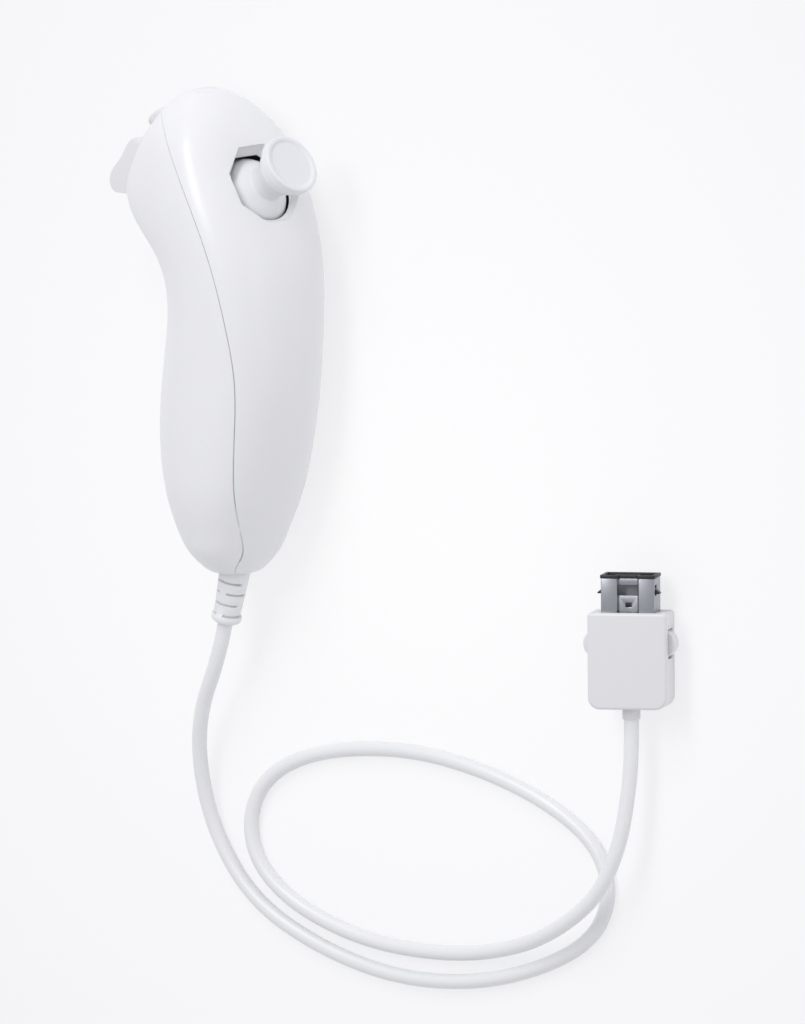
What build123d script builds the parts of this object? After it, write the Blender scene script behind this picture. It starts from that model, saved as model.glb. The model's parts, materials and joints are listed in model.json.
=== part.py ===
"""One-handed motion game controller with a thumbstick, two front buttons, a cord and a plug.

The handset is modelled in its own frame: X towards the thumb face, Y from the tail to the head,
Z across the hand. It is then laid on its flank, with Z up, on the surface that carries the cord.
The plug is modelled lying face up, with its insert along Y, and is laid beside the handset.
All sizes are in millimetres and all angles in degrees.
"""
import os
from dataclasses import dataclass
from math import asin, atan2, cos, degrees, hypot, pi, radians, sin, sqrt, tan

from build123d import *

os.makedirs("parts", exist_ok=True)


@dataclass
class Section:
    """One cross-section of the casing, square to its length."""

    place: float
    half_width: float
    thumb: float
    finger: float
    belt: float
    thumb_fullness: float
    finger_fullness: float


# Casing: sections from the tail to the head
CASING_SECTIONS = [
    Section(0.0, 5.2, 4.8, -3.8, 1.0, 0.58, 0.58),
    Section(3.0, 9.9, 7.6, -7.2, 0.8, 0.60, 0.60),
    Section(8.0, 12.9, 9.9, -10.7, 0.6, 0.64, 0.62),
    Section(16.0, 15.3, 12.8, -13.6, 0.8, 0.68, 0.64),
    Section(27.0, 16.7, 15.8, -15.7, 1.6, 0.70, 0.66),
    Section(41.0, 17.4, 18.4, -15.4, 2.6, 0.70, 0.66),
    Section(54.0, 17.8, 19.3, -13.8, 3.4, 0.70, 0.62),
    Section(66.0, 18.3, 19.0, -14.0, 3.8, 0.70, 0.58),
    Section(74.0, 18.8, 18.0, -18.6, 3.0, 0.69, 0.56),
    Section(81.0, 19.1, 16.0, -26.2, 1.8, 0.68, 0.56),
    Section(89.0, 18.9, 12.3, -29.6, 0.4, 0.66, 0.56),
    Section(96.0, 17.8, 8.2, -27.6, -1.2, 0.64, 0.56),
    Section(102.0, 15.6, 4.2, -24.2, -3.0, 0.62, 0.56),
    Section(106.5, 12.0, 0.6, -20.4, -5.4, 0.60, 0.56),
    Section(109.6, 8.0, -2.8, -17.0, -7.4, 0.58, 0.56),
    Section(111.4, 4.0, -5.8, -13.4, -9.0, 0.56, 0.56),
]
WALL = 2.0
HALF_SPAN = 40.0

# Seam between the two casing halves, as (thumb, place) points
SEAM_POINTS = [
    (2.0, -4.0), (4.2, 0.0), (7.2, 4.0), (9.2, 9.0), (11.3, 20.0), (13.3, 34.0), (14.2, 47.0),
    (12.9, 60.0), (10.0, 73.0), (4.7, 86.0), (-1.6, 96.0), (-8.2, 103.0), (-15.0, 107.0),
]
SEAM_GAP = 0.2
LIP_HEIGHT = 1.2
LIP_CLEARANCE = 0.1
END_ROUNDING = 1.0
FACE_ROUNDING = 0.8
OVERCUT = 1.0

# Front face, as (thumb, place) points at its two ends
FACE_FOOT = (-26.5, 82.5)
FACE_HEAD = (-14.0, 107.5)
FACE_WALL = 2.2

# Button plate, measured along the front face from its foot
PLATE_LOW = 0.4
PLATE_HIGH = 29.3
PLATE_HALF_WIDTH = 9.2
PLATE_LOW_RADIUS = 4.5
PLATE_HIGH_RADIUS = 6.0
PLATE_THICKNESS = 1.2
PLATE_CLEARANCE = 0.15
LEDGE = 1.0

# Lower trigger
TRIGGER_LOW = 2.4
TRIGGER_HIGH = 16.4
TRIGGER_HALF_WIDTH = 7.0
TRIGGER_WINDOW_GAP = 0.35
TRIGGER_FOOT_GAP = 0.9
TRIGGER_WINDOW_CORNER = 1.2
TRIGGER_INNER_LOW = 3.2
TRIGGER_LIP = 9.1
TRIGGER_LIP_REACH = 1.7
TRIGGER_LIP_DROP = 3.4
TRIGGER_NOSE_REACH = 0.4
TRIGGER_NOSE_DROP = 0.9
TRIGGER_UNDERCUT = 2.0
TRIGGER_CROWN = 7.7
TRIGGER_WALL = 1.4
TRIGGER_BACK = 1.5
TRIGGER_DIP_PLACE = 6.6
TRIGGER_DIP_RISE = 0.5
TRIGGER_SHOULDER_PLACE = 3.2
TRIGGER_SHOULDER_DROP = 3.0
TRIGGER_FOOT = 0.4
TRIGGER_STEM_PLACE = 7.5
TRIGGER_STEM_RADIUS = 1.6
TRIGGER_PIVOT_INSET = 0.4
TRIGGER_CORNER = 2.2
TRIGGER_PIVOT_DEPTH = 3.4
TRIGGER_SWING = 5.0
TRIGGER_LUG_RADIUS = 1.5
TRIGGER_LUG_INSET = 1.0
TRIGGER_LUG_OVERLAP = 0.4
PIN_RADIUS = 0.75
PIN_CLEARANCE = 0.05

# Upper button
BUTTON_LOW = 18.2
BUTTON_HIGH = 26.7
BUTTON_HALF_WIDTH = 5.6
BUTTON_CORNER = 3.8
BUTTON_LOW_RISE = 7.3
BUTTON_MIDDLE_RISE = 5.6
BUTTON_HIGH_RISE = 1.2
BUTTON_WINDOW_GAP = 0.3
BUTTON_ROUNDING = 0.8
BUTTON_FLANGE = 0.4
BUTTON_FLANGE_DEPTH = 1.5
BUTTON_FLANGE_THICKNESS = 0.9
BUTTON_STEM_RADIUS = 2.0
BUTTON_STEM_END = 3.4
BUTTON_TRAVEL = 1.2

# Switch stack behind the plate: holder, rubber pad, board
HOLDER_CLEARANCE = 0.3
HOLDER_WALL = 0.7
HOLDER_FLOOR = 1.0
STACK_CLEARANCE = 0.2
PAD_TOP = 5.6
PAD_THICKNESS = 0.9
RIBBON_PLACE = 14.0
RIBBON_BOARD_PLACE = 6.0
RIBBON_SLOT = 2.0
RIBBON_WIDTH = 6.0
RIBBON_THICKNESS = 0.3
RIBBON_LEAD = 3.0
RIBBON_BEND = 1.2
DOME_CLEARANCE = 0.15
DOME_TOP = BUTTON_STEM_END + BUTTON_TRAVEL + DOME_CLEARANCE
DOME_RADIUS = 2.2
DOME_TAPER = 20.0
TRIGGER_STEM_SWING = (TRIGGER_HIGH - TRIGGER_PIVOT_INSET - TRIGGER_STEM_PLACE) * radians(TRIGGER_SWING)
TRIGGER_STEM_END = DOME_TOP - DOME_CLEARANCE - TRIGGER_STEM_SWING
SWITCH_BOARD = 1.2

# Thumbstick: place of the gate's centre and tilt of the stick from the thumb direction
GATE_CENTRE = (10.3, 91.5)
STICK_LEAN = 33.7
GATE_HEIGHT = 8.6
GATE_INRADIUS = 9.7
GATE_THROAT = 8.35
GATE_THROAT_HEIGHT = 6.4
GATE_WALL = 1.8
TILT_LIMIT = 16.0
CAP_RADIUS = 7.2
CAP_TOP = 19.0
CAP_ROUNDING = 0.7
CAP_TIER = 1.6
CAP_TIER_RADIUS = 6.1
CAP_DISH_RADIUS = 5.7
CAP_DISH_DEPTH = 0.5
CAP_EDGE = 2.6
CAP_STEP = 0.3
NECK_WAIST = 0.1
NECK_WAIST_RISE = 1.8
NECK_FLARE = 0.5
NECK_FLARE_RISE = 3.8
NECK_RADIUS = 4.4
DOME_SPHERE = 9.8
DOME_GAP = 0.65
DOME_WALL = 1.1
DOME_EDGE_HEIGHT = 2.6
HUB_RADIUS = 2.4
HUB_LOW = 5.8

# Stick mechanism
LEVER_RADIUS = 1.3
LEVER_CLEARANCE = 0.03
LEVER_LOW = 2.0
LEVER_HIGH = 14.0
CROSS_PIN_RADIUS = 0.7
RUN_CLEARANCE = 0.05
TRUNNION_RADIUS = 1.0
HOUSING_HALF = 5.6
HOUSING_WALL = 0.8
ARCH_GAP = 0.45
ARCH_THICKNESS = 1.0
ARCH_OUTER = HOUSING_HALF - HOUSING_WALL - ARCH_GAP
ARCH_INNER = ARCH_OUTER - ARCH_THICKNESS
ARCH_WIDTH = 4.0
ARCH_LOW = 3.3
ARCH_HIGH = ARCH_LOW + ARCH_THICKNESS
RING_END_GAP = 0.9
RING_SIDE_GAP = 0.55
RING_LENGTH = 2 * (HOUSING_HALF - HOUSING_WALL - RING_END_GAP)
RING_WIDTH = 2 * (ARCH_INNER - RING_SIDE_GAP)
RING_HEIGHT = 2.6
RING_END = 1.4
RING_CHEEK = 1.3
RING_HOLE_LENGTH = RING_LENGTH - 2 * RING_END
RING_HOLE_WIDTH = RING_WIDTH - 2 * RING_CHEEK
SLOT_HALF_WIDTH = 1.5
SLOT_END_GAP = 0.45
SLOT_HALF_LENGTH = LEVER_RADIUS + ARCH_HIGH * tan(radians(TILT_LIMIT)) + SLOT_END_GAP
HOUSING_TOP = 2.2
HOUSING_BOTTOM = 6.2
SENSOR_THICKNESS = 2.2
SENSOR_WIDTH = 5.0
SENSOR_TOP = 1.5
SENSOR_BORE_DEPTH = 1.5
SPRING_RADIUS = 3.0
SPRING_WIRE = 0.7
SPRING_PLATE_RADIUS = 4.2
SPRING_PLATE_TOP = 2.6
SPRING_PLATE_THICKNESS = 0.6

# Main board, square to the stick
BOARD_THICKNESS = 1.2
BOARD_HEAD_END = 8.4
BOARD_TAIL_END = 21.0
BOARD_HALF_WIDTH = 10.6
BOARD_CORNER = 1.5
BOARD_SCREW_PLACE = 11.5
BOARD_SCREW_ACROSS = 8.4
BOARD_BOSS_RADIUS = 1.9
BOARD_SCREW_RADIUS = 0.75
BOARD_SCREW_HEAD_RADIUS = 1.6
BOARD_SCREW_HEAD = 1.0
BOARD_SCREW_LENGTH = 5.0
CHIP_SIZE = 6.0
CHIP_HEIGHT = 1.1
CHIP_PLACE = 15.5
SENSOR_CHIP_SIZE = 4.0
SENSOR_CHIP_ACROSS = 5.5
CONNECTOR_INSET = 0.3
CONNECTOR_LENGTH = 4.6
CONNECTOR_WIDTH = 7.0
CONNECTOR_HEIGHT = 3.2
CONNECTOR_ACROSS = -6.5

# Casing screws, driven from the finger side, as places along the casing
SCREW_PLACES = [23.0, 58.0]
SCREW_SEAT = -7.5
SCREW_POST_END = 3.0
SCREW_RECESS_RADIUS = 3.1
SCREW_POST_RADIUS = 4.6
SCREW_HOLE_RADIUS = 1.5
SCREW_BOSS_RADIUS = 3.2
SCREW_BOSS_GAP = 0.3
SCREW_SHANK_RADIUS = 1.15
SCREW_SHANK_END = 12.0
SCREW_PILOT_GAP = 0.05
SCREW_HEAD_RADIUS = 2.5
SCREW_HEAD_HEIGHT = 1.7
DRIVE_DEPTH = 0.9
DRIVE_WIDTH = 0.7
DRIVE_LENGTH = 1.6

# Cord and its strain relief at the tail
CORD_DIAMETER = 3.5
CORD_LEAD = 8.5
RELIEF_CENTRE = 0.3
RELIEF_LEAN = 14.0
RELIEF_LENGTH = 12.4
RELIEF_RADIUS = 3.6
RELIEF_END_RADIUS = 3.15
RELIEF_NECK_RADIUS = 3.0
RELIEF_HOLE_GAP = 0.1
RELIEF_FLANGE_RADIUS = 4.4
RELIEF_FLANGE_THICKNESS = 1.4
RELIEF_POCKET_GAP = 0.3
RELIEF_LIP = 0.35
RELIEF_LIP_LENGTH = 2.4
GROOVE_WIDTH = 0.6
GROOVE_DEPTH = 0.75
GROOVE_TURN = 82.0
GROOVE_BRIDGE = 1.7
GROOVE_PLACES = [2.2, 4.9, 7.6, 10.3]
INNER_CABLE_RADIUS = 1.4
INNER_CABLE_BEND = 4.0
INNER_CABLE_LEAD = 6.5
# Bends of the inner cable beside the screw posts, as (thumb, place)
CABLE_BENDS = [(2.0, 20.0), (7.0, 42.0)]

# Plug: width along X, insert along Y, face up
PLUG_WIDTH = 18.6
PLUG_LENGTH = 22.4
PLUG_THICKNESS = 10.6
PLUG_WALL = 1.4
PLUG_TAIL_RADIUS = 2.8
PLUG_NOSE_RADIUS = 0.8
PLUG_EDGE = 0.7
PLUG_SEAM = 0.15
PLUG_BUTTON_PLACE = 15.0
PLUG_BUTTON_RADIUS = 3.3
PLUG_BUTTON_HEIGHT = 5.0
PLUG_BUTTON_FLANGE = 0.6
PLUG_BUTTON_FLANGE_THICKNESS = 1.2
PLUG_BUTTON_SEAT = 0.3
PLUG_BUTTON_TRAVEL = 0.5
PLUG_BUTTON_PROUD = 1.0
PLUG_BUTTON_RISE = PLUG_BUTTON_PROUD + PLUG_BUTTON_TRAVEL
PLUG_BUTTON_GAP = 0.2
PLUG_BUTTON_CONTACT = 0.1
PLUNGER_WIDTH = 1.6
SHIELD_WIDTH = 12.6
SHIELD_HEIGHT = 7.2
SHIELD_REACH = 7.9
SHIELD_ROOT = 3.2
SHIELD_WALL = 0.45
SHIELD_FIT = 0.05
SHIELD_CHANNEL_WIDTH = 4.2
SHIELD_CHANNEL_DEPTH = 1.0
SHIELD_CHANNEL_SLOPE = 0.5
SHIELD_WINDOW_PLACES = [24.1, 27.4]
SHIELD_WINDOW_WIDTH = 1.4
SHIELD_WINDOW_LENGTH = 1.0
RIM_LENGTH = 0.8
RIM_PROUD = 0.15
CONTACT_COUNT = 6
CONTACT_PITCH = 1.6
CONTACT_WIDTH = 0.7
CONTACT_THICKNESS = 0.3
TONGUE_THICKNESS = 1.8
TONGUE_WIDTH = 10.4
TONGUE_TOP = 0.1
TONGUE_RECESS = 1.2
BLOCK_TOP = 2.1
BLOCK_TOP_WIDTH = 5.0
ARM_THICKNESS = 0.5
ARM_PLACE = 5.45
ARM_LOW = 0.4
ARM_HEIGHT = 2.2
ARM_PIVOT_PLACE = 2.9
ARM_HOOK_PLACE = 26.7
ARM_HOOK_RISE = 1.0
ARM_HOOK_LENGTH = 1.6
ARM_HOOK_FLAT = 0.3
ARM_GAP = 0.2
ARM_POST_RADIUS = 0.6
COLLAR_LENGTH = 2.6
COLLAR_RADIUS = 2.1
COLLAR_FIT = 0.05
COLLAR_FLANGE = 0.7
HOOK_PLACE = 9.0
HOOK_HEIGHT = 2.7
HOOK_WIDTH = 2.4
HOOK_ROOT = 1.6
HOOK_LENGTH = 5.6
HOOK_LIP = 1.1

# Where the plug lies on the floor: its tail's place and its turn
PLUG_FLOOR_PLACE = (108.7, -73.6)
PLUG_TURN = 2.0

# Cord's route between its straight leads at the relief and the plug, as points on the floor
# with the clear height under the cord, which lies flat where that is zero
CORD_ROUTE = [
    (-6.3, -84.0, 7.8), (-8.6, -98.5, 3.0), (-5.3, -113.5, 0.2), (5.0, -127.5, 0),
    (22.5, -136.7, 0), (43.5, -142.2, 0), (65.0, -141.8, 0), (83.5, -136.6, 0),
    (96.6, -128.8, 0), (100.8, -118.4, 0), (97.3, -107.6, 0), (85.6, -99.3, 0),
    (67.5, -92.5, 0), (46.0, -88.7, 0), (22.6, -90.7, 0), (8.0, -97.4, 0),
    (2.9, -107.7, 0), (5.6, -118.9, 0), (16.8, -128.0, 0), (36.0, -134.5, 0),
    (58.0, -135.8, 0), (77.0, -132.5, 2.4), (91.8, -126.0, 6.6), (102.3, -117.2, 7.8),
    (107.3, -105.6, 7.6), (108.6, -94.5, 6.6),
]
CORD_FLOOR_GAP = 0.05
CORD_BEND_SHARE = 0.45

# How the handset lies
HANDSET_ROLL = 14.0
HANDSET_PITCH = 2.5


def casing_section(item: Section, inset: float) -> Face:
    """Return one closed cross-section, drawn inside the outer skin by inset."""
    length = CASING_SECTIONS[-1].place
    place = item.place + inset * (1 - 2 * item.place / length)
    half = item.half_width - inset
    thumb = item.thumb - inset
    finger = item.finger + inset
    belt = item.belt
    full_up = item.thumb_fullness
    full_down = item.finger_fullness
    shoulder_up = belt + full_up * (thumb - belt)
    shoulder_down = belt + full_down * (finger - belt)
    with BuildSketch(Plane(origin=(0, place, 0), x_dir=(0, 0, 1), z_dir=(0, 1, 0))) as outline:
        with BuildLine():
            Bezier((half, belt), (half, shoulder_up), (full_up * half, thumb), (0, thumb))
            Bezier((0, thumb), (-full_up * half, thumb), (-half, shoulder_up), (-half, belt))
            Bezier((-half, belt), (-half, shoulder_down), (-full_down * half, finger), (0, finger))
            Bezier((0, finger), (full_down * half, finger), (half, shoulder_down), (half, belt))
        make_face()
    return outline.sketch.faces()[0]


def casing_sections(inset: float) -> list[Face]:
    """Return the casing's cross-sections from the tail to the head."""
    return [casing_section(item, inset) for item in CASING_SECTIONS]


def finger_side(shift: float) -> Part:
    """Return the space on the finger side of the seam, moved towards the thumb by shift."""
    points = [(thumb + shift, place) for thumb, place in SEAM_POINTS]
    start, end = points[0], points[-1]
    with BuildPart() as space:
        with BuildSketch(Plane.XY):
            with BuildLine():
                Spline(*points)
                Polyline(end, (-HALF_SPAN, end[1]), (-HALF_SPAN, start[1]), start)
            make_face()
        extrude(amount=HALF_SPAN, both=True)
    return space.part


# Working planes of the front face, the stick and the relief
FACE_RUN = Vector(FACE_HEAD[0] - FACE_FOOT[0], FACE_HEAD[1] - FACE_FOOT[1], 0).normalized()
FACE_OUT = Vector(-FACE_RUN.Y, FACE_RUN.X, 0)
FACE = Plane(origin=(FACE_FOOT[0], FACE_FOOT[1], 0), x_dir=FACE_RUN, z_dir=FACE_OUT)
FACE_SIDE = Plane(origin=(FACE_FOOT[0], FACE_FOOT[1], 0), x_dir=FACE_RUN, z_dir=(0, 0, 1))
STICK_AXIS = Vector(cos(radians(STICK_LEAN)), sin(radians(STICK_LEAN)), 0)
STICK_PIVOT = Vector(GATE_CENTRE[0], GATE_CENTRE[1], 0) - STICK_AXIS * GATE_HEIGHT
STICK = Plane(origin=STICK_PIVOT, x_dir=(0, 0, 1), z_dir=STICK_AXIS)
STICK_ACROSS = Plane(origin=STICK_PIVOT, x_dir=STICK.y_dir, z_dir=STICK.x_dir)
STICK_ALONG = Plane(origin=STICK_PIVOT, x_dir=STICK.x_dir, z_dir=-STICK.y_dir)
RELIEF_AXIS = Vector(-sin(radians(RELIEF_LEAN)), -cos(radians(RELIEF_LEAN)), 0)
RELIEF = Plane(origin=(RELIEF_CENTRE, 0, 0), x_dir=(0, 0, 1), z_dir=RELIEF_AXIS)
RELIEF_SIDE = Plane(origin=RELIEF.origin, x_dir=(0, 0, 1), z_dir=-RELIEF.y_dir)
TAIL = Plane(origin=(RELIEF_CENTRE, 0, 0), x_dir=(0, 0, 1), z_dir=(0, 1, 0))


def plate_outline(inset: float) -> Face:
    """Return the button plate's outline on the front face, drawn in by inset."""
    low = PLATE_LOW + inset
    high = PLATE_HIGH - inset
    half = PLATE_HALF_WIDTH - inset
    low_radius = PLATE_LOW_RADIUS - inset
    high_radius = PLATE_HIGH_RADIUS - inset
    with BuildSketch(FACE) as outline:
        with BuildLine():
            FilletPolyline(
                (low, -half), (low, half), (high, half), (high, -half),
                radius=[low_radius, low_radius, high_radius, high_radius],
                close=True,
            )
        make_face()
    return outline.sketch.faces()[0]


def plate_block(inset: float, front: float, back: float) -> Part:
    """Return the plate's outline as a block between two depths behind the front face."""
    outline = plate_outline(inset).moved(Location(FACE_OUT * -back))
    with BuildPart() as block:
        extrude(to_extrude=outline, amount=back - front, dir=FACE_OUT)
    return block.part


# Places of the screws, in their own planes
board_screw_spots = [(side * BOARD_SCREW_ACROSS, BOARD_SCREW_PLACE) for side in (1, -1)]
screw_spots = [(place, 0) for place in SCREW_PLACES]

# Casing solids that the two halves are cut from
with BuildPart() as casing_skin:
    loft(sections=casing_sections(0))
    split(bisect_by=FACE, keep=Keep.BOTTOM)
    front_face = casing_skin.faces().sort_by(lambda face: FACE.to_local_coords(face.center()).Z)[-1]
    fillet(front_face.edges(), radius=FACE_ROUNDING)
    fillet(casing_skin.faces().sort_by(Axis.Y)[0].edges(), radius=END_ROUNDING)

with BuildPart() as casing_middle:
    loft(sections=casing_sections(WALL / 2))
    split(bisect_by=FACE.offset(-FACE_WALL / 2), keep=Keep.BOTTOM)

with BuildPart() as casing_tongue:
    loft(sections=casing_sections(WALL / 2 + LIP_CLEARANCE))
    split(bisect_by=FACE.offset(-FACE_WALL / 2 - LIP_CLEARANCE), keep=Keep.BOTTOM)

with BuildPart() as casing_cavity:
    loft(sections=casing_sections(WALL))
    split(bisect_by=FACE.offset(-FACE_WALL), keep=Keep.BOTTOM)

# Space cut in both halves for the button plate and the switch stack
with BuildPart() as front_opening:
    add(plate_block(0, -OVERCUT, PLATE_THICKNESS))
    add(plate_block(LEDGE, 0, FACE_WALL + OVERCUT))

# Space cut in both halves for the strain relief's neck and flange
with BuildPart() as tail_opening:
    with BuildSketch(TAIL.offset(-OVERCUT)):
        Circle(RELIEF_NECK_RADIUS + RELIEF_HOLE_GAP)
    extrude(amount=WALL + 2 * OVERCUT)
    with BuildSketch(TAIL.offset(WALL)):
        Circle(RELIEF_FLANGE_RADIUS + RELIEF_POCKET_GAP)
    extrude(amount=RELIEF_FLANGE_THICKNESS + 2 * RELIEF_POCKET_GAP)

# Gate collar and screw bosses under the thumb face
with BuildPart() as thumb_bosses:
    with BuildSketch(STICK.offset(GATE_THROAT_HEIGHT)):
        RegularPolygon(GATE_THROAT + GATE_WALL, 8, major_radius=False, rotation=22.5)
    extrude(amount=HALF_SPAN)
    with BuildSketch(STICK.offset(-HOUSING_BOTTOM)):
        with Locations(*board_screw_spots):
            Circle(BOARD_BOSS_RADIUS)
    extrude(amount=HALF_SPAN)
    with BuildSketch(Plane.YZ.offset(SCREW_POST_END + SCREW_BOSS_GAP)):
        with Locations(*screw_spots):
            Circle(SCREW_BOSS_RADIUS)
    extrude(amount=HALF_SPAN)
    add(casing_middle.part, mode=Mode.INTERSECT)

# Top shell: thumb half of the casing
with BuildPart() as top_shell:
    add(casing_skin.part)
    add(finger_side(SEAM_GAP), mode=Mode.SUBTRACT)
    add(casing_middle.part & finger_side(LIP_HEIGHT + SEAM_GAP), mode=Mode.SUBTRACT)
    add(casing_cavity.part, mode=Mode.SUBTRACT)
    add(thumb_bosses.part)
    with BuildSketch(STICK.offset(GATE_THROAT_HEIGHT)) as throat:
        RegularPolygon(GATE_THROAT, 8, major_radius=False, rotation=22.5)
    with BuildSketch(STICK.offset(GATE_HEIGHT)) as mouth:
        RegularPolygon(GATE_INRADIUS, 8, major_radius=False, rotation=22.5)
    loft(sections=[throat.sketch.faces()[0], mouth.sketch.faces()[0]], ruled=True, mode=Mode.SUBTRACT)
    extrude(to_extrude=mouth.sketch.faces()[0], amount=HALF_SPAN, dir=STICK_AXIS, mode=Mode.SUBTRACT)
    with Locations(STICK_PIVOT):
        Sphere(DOME_SPHERE + DOME_GAP, mode=Mode.SUBTRACT)
    with BuildSketch(STICK.offset(-HOUSING_BOTTOM)):
        with Locations(*board_screw_spots):
            Circle(BOARD_SCREW_RADIUS + SCREW_PILOT_GAP)
    extrude(amount=BOARD_SCREW_LENGTH, mode=Mode.SUBTRACT)
    with BuildSketch(Plane.YZ.offset(SCREW_POST_END)):
        with Locations(*screw_spots):
            Circle(SCREW_SHANK_RADIUS + SCREW_PILOT_GAP)
    extrude(amount=SCREW_SHANK_END - SCREW_POST_END + SCREW_BOSS_GAP, mode=Mode.SUBTRACT)
    add(front_opening.part, mode=Mode.SUBTRACT)
    add(tail_opening.part, mode=Mode.SUBTRACT)

# Screw posts inside the finger half
with BuildPart() as finger_posts:
    with BuildSketch(Plane.YZ.offset(-HALF_SPAN)):
        with Locations(*screw_spots):
            Circle(SCREW_POST_RADIUS)
    extrude(amount=HALF_SPAN + SCREW_POST_END)
    add(casing_middle.part, mode=Mode.INTERSECT)

# Bottom shell: finger half of the casing, with the tongue of the lap joint
with BuildPart() as bottom_shell:
    add(casing_skin.part & finger_side(0))
    add(casing_tongue.part & finger_side(LIP_HEIGHT))
    add(casing_cavity.part, mode=Mode.SUBTRACT)
    with BuildSketch(Plane.YZ.offset(SCREW_POST_END)):
        with Locations(*screw_spots):
            Circle(SCREW_BOSS_RADIUS + SCREW_BOSS_GAP)
    extrude(amount=HALF_SPAN, mode=Mode.SUBTRACT)
    add(finger_posts.part)
    with BuildSketch(Plane.YZ.offset(-HALF_SPAN)):
        with Locations(*screw_spots):
            Circle(SCREW_RECESS_RADIUS)
    extrude(amount=HALF_SPAN + SCREW_SEAT, mode=Mode.SUBTRACT)
    with BuildSketch(Plane.YZ.offset(SCREW_SEAT)):
        with Locations(*screw_spots):
            Circle(SCREW_HOLE_RADIUS)
    extrude(amount=SCREW_POST_END - SCREW_SEAT, mode=Mode.SUBTRACT)
    add(front_opening.part, mode=Mode.SUBTRACT)
    add(tail_opening.part, mode=Mode.SUBTRACT)

# Button plate, seated on the ledge of the front opening
with BuildPart() as button_bezel:
    add(plate_block(PLATE_CLEARANCE, 0, PLATE_THICKNESS))
    trigger_window_low = TRIGGER_LOW - TRIGGER_FOOT_GAP
    trigger_window_high = TRIGGER_HIGH + TRIGGER_WINDOW_GAP
    with BuildSketch(FACE.offset(-PLATE_THICKNESS)):
        with Locations(((trigger_window_low + trigger_window_high) / 2, 0)):
            RectangleRounded(
                trigger_window_high - trigger_window_low,
                2 * (TRIGGER_HALF_WIDTH + TRIGGER_WINDOW_GAP),
                TRIGGER_WINDOW_CORNER,
            )
        with Locations(((BUTTON_LOW + BUTTON_HIGH) / 2, 0)):
            RectangleRounded(
                BUTTON_HIGH - BUTTON_LOW + 2 * BUTTON_WINDOW_GAP,
                2 * (BUTTON_HALF_WIDTH + BUTTON_WINDOW_GAP),
                BUTTON_CORNER + BUTTON_WINDOW_GAP,
            )
    extrude(amount=PLATE_THICKNESS, mode=Mode.SUBTRACT)

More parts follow.
